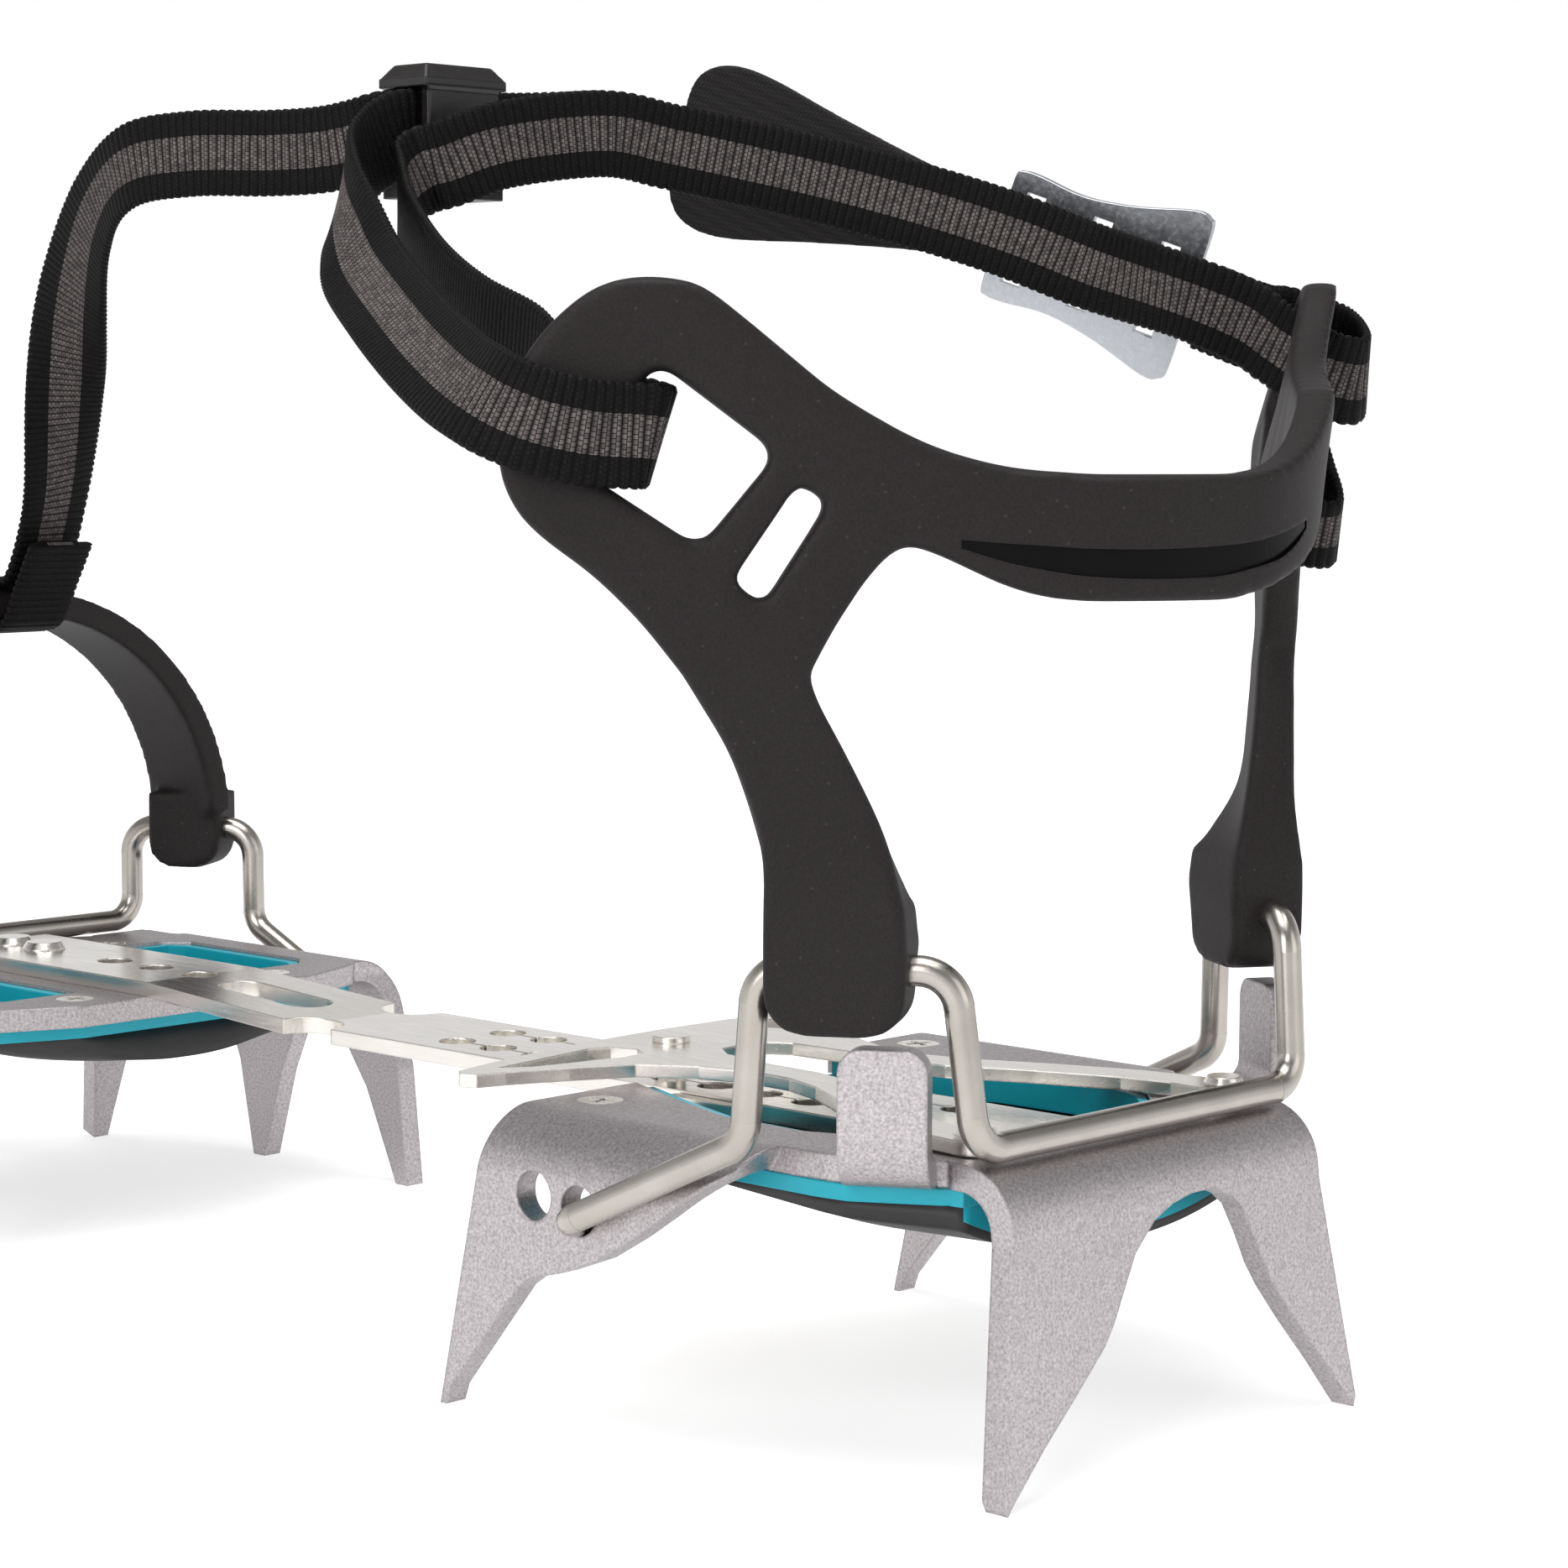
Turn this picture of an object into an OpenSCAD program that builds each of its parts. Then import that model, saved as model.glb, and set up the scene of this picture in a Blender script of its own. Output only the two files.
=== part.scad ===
// Strap-on crampon: a heel plate with a soft harness, a link bar and a front plate.
// Front is +X, left is +Y, up is +Z, and the points stand on z = 0. All sizes are in mm.

/* [Plates] */
// Height of the boot side of the heel plate over the ground
plate_top = 41; // [40:0.5:42]
// Sheet thickness of the two folded plates
sheet_t = 3.5; // [3.2:0.1:3.7]
// Outer radius of the folded edges
fold_r = 8.5; // [8:0.25:9]
// Diameter of the bail holes in the flanges
bail_hole_d = 6.6; // [6:0.2:7]

/* [Wire] */
// Diameter of the bail wire
wire_d = 3.8; // [3.4:0.1:4]
// Height of the side rods of the heel bail
rod_z = 65; // [64:0.5:66]

/* [Bar] */
// Distance between the bail holes of the heel plate and of the front plate
bail_span = 164; // [158:2:172]
// Width of the link bar
bar_w = 22.4; // [21:0.2:22.6]
// Thickness of the link bar
bar_t = 2.4; // [2.2:0.1:2.6]
// Distance between adjustment holes
hole_pitch = 9; // [8.5:0.25:9]
// Diameter of the adjustment holes
hole_d = 5.6; // [5.4:0.1:6]
// Thickness of the lock leaf
leaf_t = 1.8; // [1.5:0.1:2]

/* [Harness] */
// Wall thickness of the harness
arm_t = 5; // [4:0.5:5]
// Angle of the left harness arm to the walking direction
arm_splay = 47; // [45:1:48]
// Angle of the right harness arm to the walking direction
right_splay = 50.5; // [48:0.5:51]

/* [Webbing] */
// Width of the webbing
strap_w = 12.6; // [11.6:0.2:12.6]
// Thickness of the webbing
strap_t = 1.4; // [1.1:0.1:1.4]

/* [Hidden] */
$fn = 48;
// heel plate
side_y = 47.5;
rear_x = 2.55;
rear_lean = 5.7;
rear_w = 31.6;
heel_front = 80;
plate_bottom = plate_top - sheet_t;
// rods: start point, angle to the walking direction and length of the left one
rod_a = [7.75, 32.5];
rod_angle = 31.3;
rod_len = 28.6;
// bail holes and the wire resting in them
heel_hole = [62, 30];
spare_hole = [70.5, 30.8];
toe_hole = [226, 31];
wire_drop = (bail_hole_d - wire_d) / 2 - 0.1;
// bar levels: the bar runs between the plate arms and rises onto the front plate
bar_top = plate_top - 2.1;
bar_bottom = bar_top - bar_t;
bar_rise = 2.4;
first_hole = 132.5;
hole_rows = [-5.1, 5.1];
// front plate, moved forward by a longer bar
stretch = bail_span - 164;
front_top = bar_bottom + bar_rise - 0.02;
front_bottom = front_top - sheet_t;
// snow plates
frame_t = 2.1;
dish_r = 150;
// lock leaf: pivot line and lift at rest
leaf_pivot = [13.8, 25.6];
leaf_gap = 0.3;
leaf_lift = 0.8;
pin_at = [first_hole - 5 * hole_pitch, 5.1];
// harness: a band round the heel and two arms tangent to it
band_r = 38;
band_x = 25.7;
// toe basket arch
arch_z = 58;
arch_r = 39.5;
arch_t = 4.5;
// the footprint is centred on the origin
front_reach = 270 + stretch + 43 * cos(36) + 1.1;
rear_reach = band_x - band_r - arm_t / 2;
centre_x = (front_reach + rear_reach) / 2;

// vector helpers
function unit(v) = v / norm(v);
// turn of a frame with the axes u, v and w
function turn(u, v, w) = [[u[0], v[0], w[0], 0], [u[1], v[1], w[1], 0], [u[2], v[2], w[2], 0], [0, 0, 0, 1]];
// point on the left rod line: along, outward and height
function rod_point(t, off, z) = [rod_a[0] + t * cos(rod_angle) - off * sin(rod_angle),
    rod_a[1] + t * sin(rod_angle) + off * cos(rod_angle), z];
// point on a harness arm of a given angle, drawn on the left: along, height, outward
function arm_place(t, z, off, splay) = [band_x + t * cos(splay) - (band_r + off) * sin(splay),
    t * sin(splay) + (band_r + off) * cos(splay), z];
// the same on its own side, which is 1 for left and -1 for right
function arm_point(t, z, off, side) = side > 0 ? arm_place(t, z, off, arm_splay) :
    let (p = arm_place(t, z, off, right_splay)) [p[0], -p[1], z];

module local() {
    translate([-centre_x, 0, 0])
        children();
}

module front_local() {
    translate([stretch - centre_x, 0, 0])
        children();
}

module both_sides() {
    children();
    mirror([0, 1, 0])
        children();
}

// Outline mirrored to both sides of the walking direction
module plan(half) {
    polygon(concat(half, [for (i = [len(half) - 1 : -1 : 0]) [half[i][0], -half[i][1]]]));
}

// Section of a folded edge: its outer face starts at 0 and its leg leans out on the way down
module fold_section(top, lean) {
    translate([-fold_r, top - fold_r]) {
        difference() {
            intersection() {
                circle(r = fold_r, $fn = 96);
                square(fold_r);
                rotate(lean)
                    square(fold_r);
            }
            circle(r = fold_r - sheet_t, $fn = 96);
        }
        rotate(lean)
            translate([fold_r - sheet_t, -60])
                square([sheet_t, 60]);
    }
    translate([-fold_r - 1, top - sheet_t])
        square([1, sheet_t]);
}

// Left side flange cut to its outline
module side_flange(from, length, top, outline) {
    intersection() {
        translate([from, side_y, 0])
            rotate([90, 0, 90])
                linear_extrude(length)
                    fold_section(top, 0);
        translate([0, side_y + 1, 0])
            rotate([90, 0, 0])
                linear_extrude(20)
                    polygon(outline);
    }
}

// Straight round wire between two points
module wire_length(a, b, d) {
    u = unit(b - a);
    translate(a)
        rotate([0, acos(u[2]), atan2(u[1], u[0])])
            cylinder(d = d, h = norm(b - a));
}

// Bent round wire through corner points with a bend radius each; the bends swell a little
module wire(points, bends, d) {
    last = len(points) - 1;
    function cut(i) = i == 0 || i == last ? 0 :
        let (a = unit(points[i] - points[i - 1]), b = unit(points[i + 1] - points[i]))
            bends[i] * tan(acos(a * b) / 2);
    for (i = [0 : last - 1]) {
        u = unit(points[i + 1] - points[i]);
        wire_length(points[i] + u * (cut(i) - 0.3), points[i + 1] - u * (cut(i + 1) - 0.3), d);
    }
    for (i = [1 : last - 1]) {
        a = unit(points[i] - points[i - 1]);
        b = unit(points[i + 1] - points[i]);
        w = unit(cross(a, b));
        u = -cross(w, a);
        translate(points[i] - a * cut(i) - u * bends[i])
            multmatrix(turn(u, a, w))
                rotate_extrude(angle = acos(a * b))
                    translate([bends[i], 0])
                        circle(d = d + 0.06);
    }
}

// Ribbon swept along a route of points, each with the direction of its width
function curve(a, b, c, d, s) = (2 * b + (c - a) * s + (2 * a - 5 * b + 4 * c - d) * s * s
    + (3 * b - a - 3 * c + d) * s * s * s) / 2;
function smooth(route, steps) = let (last = len(route) - 1) concat([for (i = [0 : last - 1])
    for (k = [0 : steps - 1])
        curve(route[max(i - 1, 0)], route[i], route[i + 1], route[min(i + 2, last)], k / steps)], [route[last]]);
function place(p) = [p[0], p[1], p[2]];
function width(p) = [p[3], p[4], p[5]];

module ribbon(route, wide, thick) {
    path = smooth(route, 4);
    last = len(path) - 1;
    corners = [for (i = [0 : last])
        let (t = unit(place(path[min(i + 1, last)]) - place(path[max(i - 1, 0)])))
        let (n = unit(cross(t, width(path[i]))))
        let (w = cross(n, t) * wide / 2)
        let (h = n * thick / 2)
        each [place(path[i]) + w + h, place(path[i]) - w + h, place(path[i]) - w - h, place(path[i]) + w - h]];
    sides = [for (i = [0 : last - 1]) for (k = [0 : 3])
        let (a = 4 * i + k, b = 4 * i + (k + 1) % 4)
        each [[a, b, b + 4], [a, b + 4, a + 4]]];
    end = 4 * last;
    caps = [[0, 3, 2], [0, 2, 1], [end, end + 1, end + 2], [end, end + 2, end + 3]];
    polyhedron(corners, concat(sides, caps));
}

// Route point: a place and the direction of the width there
function step(p, w) = concat(p, w);

// Countersunk screw or the space it needs
module screw(length, play) {
    translate([0, 0, -1.7])
        cylinder(d1 = 3 + play, d2 = 6.2 + play, h = 1.7 + play / 4);
    translate([0, 0, -length])
        cylinder(d = 3 + play, h = length - 1.6);
}

module cross_recess() {
    for (a = [20, 110])
        rotate(a)
            translate([-1.9, -0.35, -1])
                cube([3.8, 0.7, 1.2]);
}

// Heel plate
heel_side = [[33.5, 43], [34.8, 40.6], [36.5, 38.1], [39.7, 36.1], [47.1, 31], [52.4, 27.5], [58.6, 23.9],
    [65.6, 21.2], [71.2, 19.7], [73.7, 18], [86.8, 2.4], [87.7, 0], [88.8, 0], [81.5, 32], [80.5, 37],
    [heel_front, 40], [heel_front, 43]];
heel_rear = [[rear_w, 43], [rear_w, 31.4], [36.6, 1.4], [36, 0], [35.2, 0.9], [28.5, 6.7], [21.3, 12.3], [15.4, 17.1],
    [13.4, 19.5], [8.2, 27.5], [4, 31], [0, 32.6], [-4, 33.3], [-8.7, 33.3], [-12.5, 31.6], [-14.6, 29.9],
    [-16.8, 25.7], [-18.6, 21.6], [-20.6, 18.4], [-24.6, 13.4], [-30.5, 6.7], [-35.2, 0.9], [-36, 0], [-36.6, 1.4],
    [-rear_w, 31.4], [-rear_w, 43]];
tab_from = 5.6;
tab_len = 11.2;
tab_top = 55.5;
heel_half = [[rear_x + fold_r + 0.5, rear_w], [12.4, rear_w], [13.4, 31.2], [23.8, 37.5], [27, 38.2],
    [32, side_y - fold_r - 0.5], [heel_front, side_y - fold_r - 0.5]];
// inner edge of the plate, drawn in by a given distance
function opening(i) = [[17 + i, 8], [19 + i, 17], [26, 24.5 - i], [40, 29.5 - i], [54, 29 - i], [66, 25 - i],
    [heel_front + 1, 19 - i]];
heel_screw_at = [73.8, 32.1];

module boot_tab() {
    translate([rod_a[0], rod_a[1], 0])
        rotate(rod_angle)
            intersection() {
                translate([tab_from, 2.75, 0])
                    rotate([90, 0, 90])
                        linear_extrude(tab_len) {
                            translate([-6.5, plate_top + 3])
                                difference() {
                                    intersection() {
                                        circle(r = 3 + sheet_t, $fn = 96);
                                        translate([0, -10])
                                            square(10);
                                    }
                                    circle(r = 3, $fn = 96);
                                }
                            translate([3 - 6.5, plate_top + 3])
                                square([sheet_t, tab_top - plate_top]);
                            translate([-7.5, plate_bottom])
                                square([1, sheet_t]);
                        }
                translate([tab_from, 10, 0])
                    rotate([90, 0, 0])
                        linear_extrude(30) {
                            square([tab_len, tab_top - 3]);
                            translate([3, 0])
                                square([tab_len - 6, tab_top]);
                            for (x = [3, tab_len - 3])
                                translate([x, tab_top - 3])
                                    circle(r = 3);
                        }
            }
}

module heel_plate() {
    color("Silver")
        local()
            difference() {
                union() {
                    translate([0, 0, plate_bottom])
                        linear_extrude(sheet_t)
                            difference() {
                                plan(heel_half);
                                plan(opening(0));
                            }
                    intersection() {
                        translate([rear_x, -45, 0])
                            rotate([90, 0, 180])
                                linear_extrude(90)
                                    fold_section(plate_top, rear_lean);
                        translate([rear_x - 10, 0, 0])
                            rotate([90, 0, 90])
                                linear_extrude(20)
                                    polygon(heel_rear);
                    }
                    both_sides() {
                        side_flange(25, 65, plate_top, heel_side);
                        boot_tab();
                    }
                }
                for (h = [heel_hole, spare_hole])
                    translate([h[0], 0, h[1]])
                        rotate([90, 0, 0])
                            cylinder(d = bail_hole_d, h = 120, center = true);
                both_sides() {
                    translate([heel_screw_at[0], heel_screw_at[1], plate_top])
                        screw(10, 0.1);
                    translate([leaf_pivot[0], leaf_pivot[1], 0])
                        cylinder(d = 3, h = 60);
                }
            }
}

// Link bar: a flat bar with two rows of holes, a neck, a rise and a slot
module link_bar() {
    color("LightGray")
        local()
            difference() {
                translate([0, bar_w / 2, 0])
                    rotate([90, 0, 0])
                        linear_extrude(bar_w)
                            polygon([[26, bar_bottom], [160 + stretch, bar_bottom],
                                [200 + stretch, bar_bottom + bar_rise], [258 + stretch, bar_bottom + bar_rise],
                                [258 + stretch, bar_top + bar_rise], [200 + stretch, bar_top + bar_rise],
                                [160 + stretch, bar_top], [26, bar_top]]);
                for (y = hole_rows) {
                    for (k = [0 : 10])
                        translate([first_hole - k * hole_pitch, y, 0])
                            cylinder(d = hole_d, h = 60);
                    translate([first_hole - 10 * hole_pitch, y - 0.2, 0])
                        cube([10 * hole_pitch, 0.4, 60]);
                }
                for (y = [-bar_w / 2, bar_w / 2])
                    translate([160 + stretch, y, 0])
                        cylinder(r = 5.6, h = 60);
                for (x = [173.5, 189])
                    translate([x + stretch, 0, 0])
                        cylinder(d = 8, h = 60);
                translate([173.5 + stretch, -4, 0])
                    cube([15.5, 8, 60]);
                for (x = [201, 212, 223])
                    translate([x + stretch, 0, 0])
                        cylinder(d = 6, h = 60);
                for (x = bar_rivets_at)
                    translate([x + stretch, 0, 0])
                        cylinder(d = 4, h = 60);
            }
}

// Lock leaf: a spring-steel butterfly riveted at its two rear legs
leaf_half = [[95.5, 0], [95, 14], [93.4, 28], [91.4, 38.5], [90.6, 42.4], [88.6, 44], [86.6, 42.8], [85.4, 38.6],
    [82, 30], [78, 21.5], [71, 16.2], [64, 13.6], [57, 13.4], [50, 15.6], [39, 21.6], [28, 26.6], [20, 28.6],
    [13.8, 29]];
leaf_inner = [[79, 0], [78.6, 4], [75, 6.6], [66, 7.6], [57, 7.4], [49, 9.4], [38, 15.2], [27, 20.2], [20, 22],
    [13.8, 22.2]];
leaf_window = [[88.6, 37], [91, 18], [90, 14.6], [86, 13.2], [83.4, 14.6], [83, 19], [86, 33]];

module leaf_place() {
    translate([leaf_pivot[0], 0, plate_top + leaf_gap])
        rotate([0, -leaf_lift, 0])
            translate([-leaf_pivot[0], 0, 0])
                children();
}

module lock_leaf() {
    color("Gainsboro")
        local()
            leaf_place()
                linear_extrude(leaf_t)
                    difference() {
                        union() {
                            difference() {
                                plan(leaf_half);
                                plan(leaf_inner);
                            }
                            for (y = [-1, 1])
                                translate([leaf_pivot[0], y * leaf_pivot[1]])
                                    circle(r = 3.4);
                        }
                        for (y = [-1, 1]) {
                            polygon([for (p = leaf_window) [p[0], y * p[1]]]);
                            translate([leaf_pivot[0], y * leaf_pivot[1]])
                                circle(d = 3.5);
                        }
                        translate(pin_at)
                            circle(d = 3);
                    }
}

module lock_pin() {
    color("DimGray")
        local()
            leaf_place()
                translate([pin_at[0], pin_at[1], 0]) {
                    cylinder(d = 3, h = leaf_t + 0.1);
                    translate([0, 0, leaf_t])
                        cylinder(d = 5.4, h = 0.9);
                    translate([0, 0, -pin_len])
                        cylinder(d = 4.6, h = pin_len);
                }
}
// the pin hangs clear of the bar until the leaf goes down
pin_len = leaf_gap + 2.1 + (pin_at[0] - leaf_pivot[0]) * sin(leaf_lift) - 0.25;

module leaf_rivets() {
    color("DarkGray")
        local()
            both_sides()
                translate([leaf_pivot[0], leaf_pivot[1], plate_bottom]) {
                    cylinder(d = 3, h = sheet_t + leaf_gap + leaf_t + 0.4);
                    translate([0, 0, sheet_t + leaf_gap + leaf_t + 0.35])
                        cylinder(d1 = 5.6, d2 = 4.6, h = 1);
                }
}

// Bar guide: a steel saddle under the bar, clamped by the front pair of screws
module bar_guide() {
    color("SlateGray")
        local()
            difference() {
                union() {
                    translate([67, -36, plate_bottom - frame_t - 1.2])
                        cube([13, 72, 1.2]);
                    translate([67, -13.4, plate_bottom - frame_t - 1.2])
                        cube([13, 26.8, bar_top - 0.4 - (plate_bottom - frame_t - 1.2)]);
                }
                translate([60, -bar_w / 2 - 0.3, bar_bottom - 0.1])
                    cube([30, bar_w + 0.6, 20]);
                both_sides()
                    translate([heel_screw_at[0], heel_screw_at[1], 0])
                        cylinder(d = 3.1, h = 60);
            }
}

// Snow plate of the heel: a turquoise frame with a rim in the opening, and a black membrane below
heel_frame_half = [[11, 31], [13, 31.4], [24, 38], [29, 38.6], [79, 38.6]];

module heel_frame() {
    color("DarkTurquoise")
        local()
            difference() {
                union() {
                    translate([0, 0, plate_bottom - frame_t])
                        linear_extrude(frame_t)
                            plan(heel_frame_half);
                    intersection() {
                        translate([0, 0, plate_bottom - 0.5])
                            linear_extrude(sheet_t)
                                plan(opening(0.3));
                        translate([0, -50, 0])
                            cube([78, 100, 60]);
                    }
                }
                linear_extrude(60)
                    plan(opening(2.1));
                both_sides()
                    translate([heel_screw_at[0], heel_screw_at[1], 0])
                        cylinder(d = 3.1, h = 60);
            }
}

// Domed skin below a frame, cut to its outline
module dish(at_x, low, high) {
    intersection() {
        translate([0, 0, low - 1])
            linear_extrude(high - low + 1)
                children();
        translate([at_x, 0, low + dish_r])
            difference() {
                sphere(r = dish_r, $fn = 200);
                sphere(r = dish_r - 1.6, $fn = 200);
            }
    }
}

module heel_membrane() {
    color("DimGray")
        local()
            dish(38, plate_bottom - frame_t - 5.8, plate_bottom - frame_t)
                plan([[11, 31], [13, 31.4], [24, 38], [29, 38.6], [66, 38.6]]);
}

module heel_screws() {
    color("WhiteSmoke")
        local()
            both_sides()
                translate([heel_screw_at[0], heel_screw_at[1], plate_top])
                    difference() {
                        screw(sheet_t + frame_t + 1.1, 0);
                        cross_recess();
                    }
}

// Heel bail: one wire from flange hole to flange hole, over both rods and across the rear
heel_bail_left = [[heel_hole[0], 41, heel_hole[1] - wire_drop], [heel_hole[0], 50.8, heel_hole[1] - wire_drop],
    [32.2, 47.7, plate_top + wire_d / 2 + 0.1], rod_point(27.4, 0, rod_z), rod_point(2.8, 0, rod_z),
    [rod_a[0], rod_a[1], plate_top + wire_d / 2 + 0.1]];
bail_bends = [0, 3.2, 4.6, 5, 5, 4.6, 4.6, 5, 5, 4.6, 3.2, 0];

module heel_bail() {
    color("Gray")
        local()
            wire(concat(heel_bail_left, [for (i = [5 : -1 : 0])
                [heel_bail_left[i][0], -heel_bail_left[i][1], heel_bail_left[i][2]]]), bail_bends, wire_d);
}

// Heel harness: band, two arms with a strap window and a slot, two legs, two feet on the rods
band_turn = 165;
band_climb = 19;
band_h = 15.2;
arm_outline = [[-1.2, 110.1], [6, 111.6], [12.6, 114], [18, 116], [21.5, 116.4], [25, 113.4], [29, 107.5],
    [32, 102], [48, 102], [52.5, 107.6], [58, 113], [64.3, 117.8], [67.4, 121.4], [69, 126], [68.8, 131],
    [67.1, 136.5], [64.1, 141.4], [59.1, 146], [55, 147.8], [51.2, 148.2], [47.4, 147.8], [44.3, 146.6],
    [38.4, 142], [33.5, 138], [28.5, 134.2], [18.6, 128.8], [8.6, 126], [-1.2, 125.1]];
// the right arm leaves the band higher, where the soft band climbs round the heel
right_outline = [[-1.2, 122.2], [8, 119.6], [16, 117.6], [21.5, 116.2], [25, 113.4], [29, 107.5],
    [32, 102], [48, 102], [52.5, 107.6], [58, 113], [64.3, 117.8], [67.4, 121.4], [69, 126], [68.8, 131],
    [67.1, 137], [64.1, 142.4], [59.1, 148], [55, 150.2], [51.2, 150.8], [47.4, 150.2], [44.3, 148.6],
    [38.4, 144.6], [33.5, 141.8], [28.5, 139.8], [18.6, 137.8], [8.6, 136.6], [-1.2, 134.8]];
arm_window = [[51, 137.4], [49.4, 137.4], [37.4, 128.4], [37, 126.6], [44.6, 117.4], [46.6, 117.2], [58.6, 125],
    [58.8, 126.8]];
arm_slot = [[33.8, 124], [30.2, 121.8], [37.9, 109.7], [41.6, 112.4]];
// leg sections: height, rear end, front end, outward, thickness, share of its own arm's angle
leg_sections = [[106, 33.4, 48.4, 0, 4.4, 1], [98, 31.2, 45.4, -1.4, 5.2, 0.8], [91, 27.4, 41.4, -3.2, 5.6, 0.6],
    [81, 22.8, 38.2, -5.4, 6.4, 0.3], [74, 19.4, 37, -6.6, 7.4, 0.1], [68, 18.4, 36.6, -7.4, 8.2, 0]];
right_sections = [[106, 33.4, 48.4, -2.6, 4.4, 1], [98, 31.2, 45.4, -3.4, 5.2, 0.8],
    [91, 27.4, 41.4, -4.2, 5.6, 0.6], [81, 22.8, 38.2, -5.6, 6.4, 0.3], [74, 19.4, 37, -6.6, 7.4, 0.1],
    [68, 18.4, 36.6, -7.4, 8.2, 0]];

module leg(splay, leg_sections) {
    points = [for (s = leg_sections) let (a = s[5] * splay + (1 - s[5]) * arm_splay)
        each [arm_place(s[1], s[0], s[3] - s[4] / 2, a), arm_place(s[2], s[0], s[3] - s[4] / 2, a),
        arm_place(s[2], s[0], s[3] + s[4] / 2, a), arm_place(s[1], s[0], s[3] + s[4] / 2, a)]];
    last = len(leg_sections) - 1;
    sides = [for (i = [0 : last - 1]) for (k = [0 : 3])
        let (a = 4 * i + k, b = 4 * i + (k + 1) % 4)
        each [[a, b, b + 4], [a, b + 4, a + 4]]];
    end = 4 * last;
    polyhedron(points, concat(sides, [[0, 3, 2], [0, 2, 1], [end, end + 1, end + 2], [end, end + 2, end + 3]]));
}

module foot() {
    translate([rod_a[0], rod_a[1], 0])
        rotate(rod_angle)
            translate([8.2, 5, 0])
                rotate([90, 0, 0])
                    linear_extrude(10) {
                        translate([0, 62])
                            square([17.6, 11]);
                        translate([5, 57])
                            square([7.6, 11]);
                        for (x = [5, 12.6])
                            translate([x, 62])
                                circle(r = 5);
                    }
}

module harness_side(splay, outline, window, sections) {
    translate(arm_place(0, 0, arm_t / 2 - 0.05, splay))
        rotate([90, 0, splay])
            linear_extrude(arm_t - 0.1)
                difference() {
                    polygon(outline);
                    polygon(window);
                    polygon(arm_slot);
                }
    difference() {
        union() {
            leg(splay, sections);
            foot();
        }
        wire(heel_bail_left, bail_bends, wire_d + 0.3);
    }
}

module heel_harness() {
    color("DarkSlateGray")
        local() {
            translate([band_x, 0, 110])
                rotate(90 + arm_splay)
                    rotate_extrude(angle = band_turn + 1.5 - 90 - arm_splay, $fn = 96)
                        translate([band_r - arm_t / 2, 0])
                            square([arm_t, band_h]);
            translate([band_x, 0, 110])
                rotate(band_turn)
                    intersection() {
                        rotate(-1.5)
                            rotate_extrude(angle = 271.5 - right_splay - band_turn, $fn = 96)
                                translate([band_r - arm_t / 2 - 0.1, -4])
                                    square([arm_t + 0.2, 40]);
                        rotate([band_climb, 0, 0])
                            translate([0, -20, 0])
                                cube([60, 80, band_h * cos(band_climb)]);
                    }
            harness_side(arm_splay, arm_outline, arm_window, leg_sections);
            mirror([0, 1, 0])
                harness_side(right_splay, right_outline, [for (p = arm_window) p + [0, 8]], right_sections);
        }
}

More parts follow.
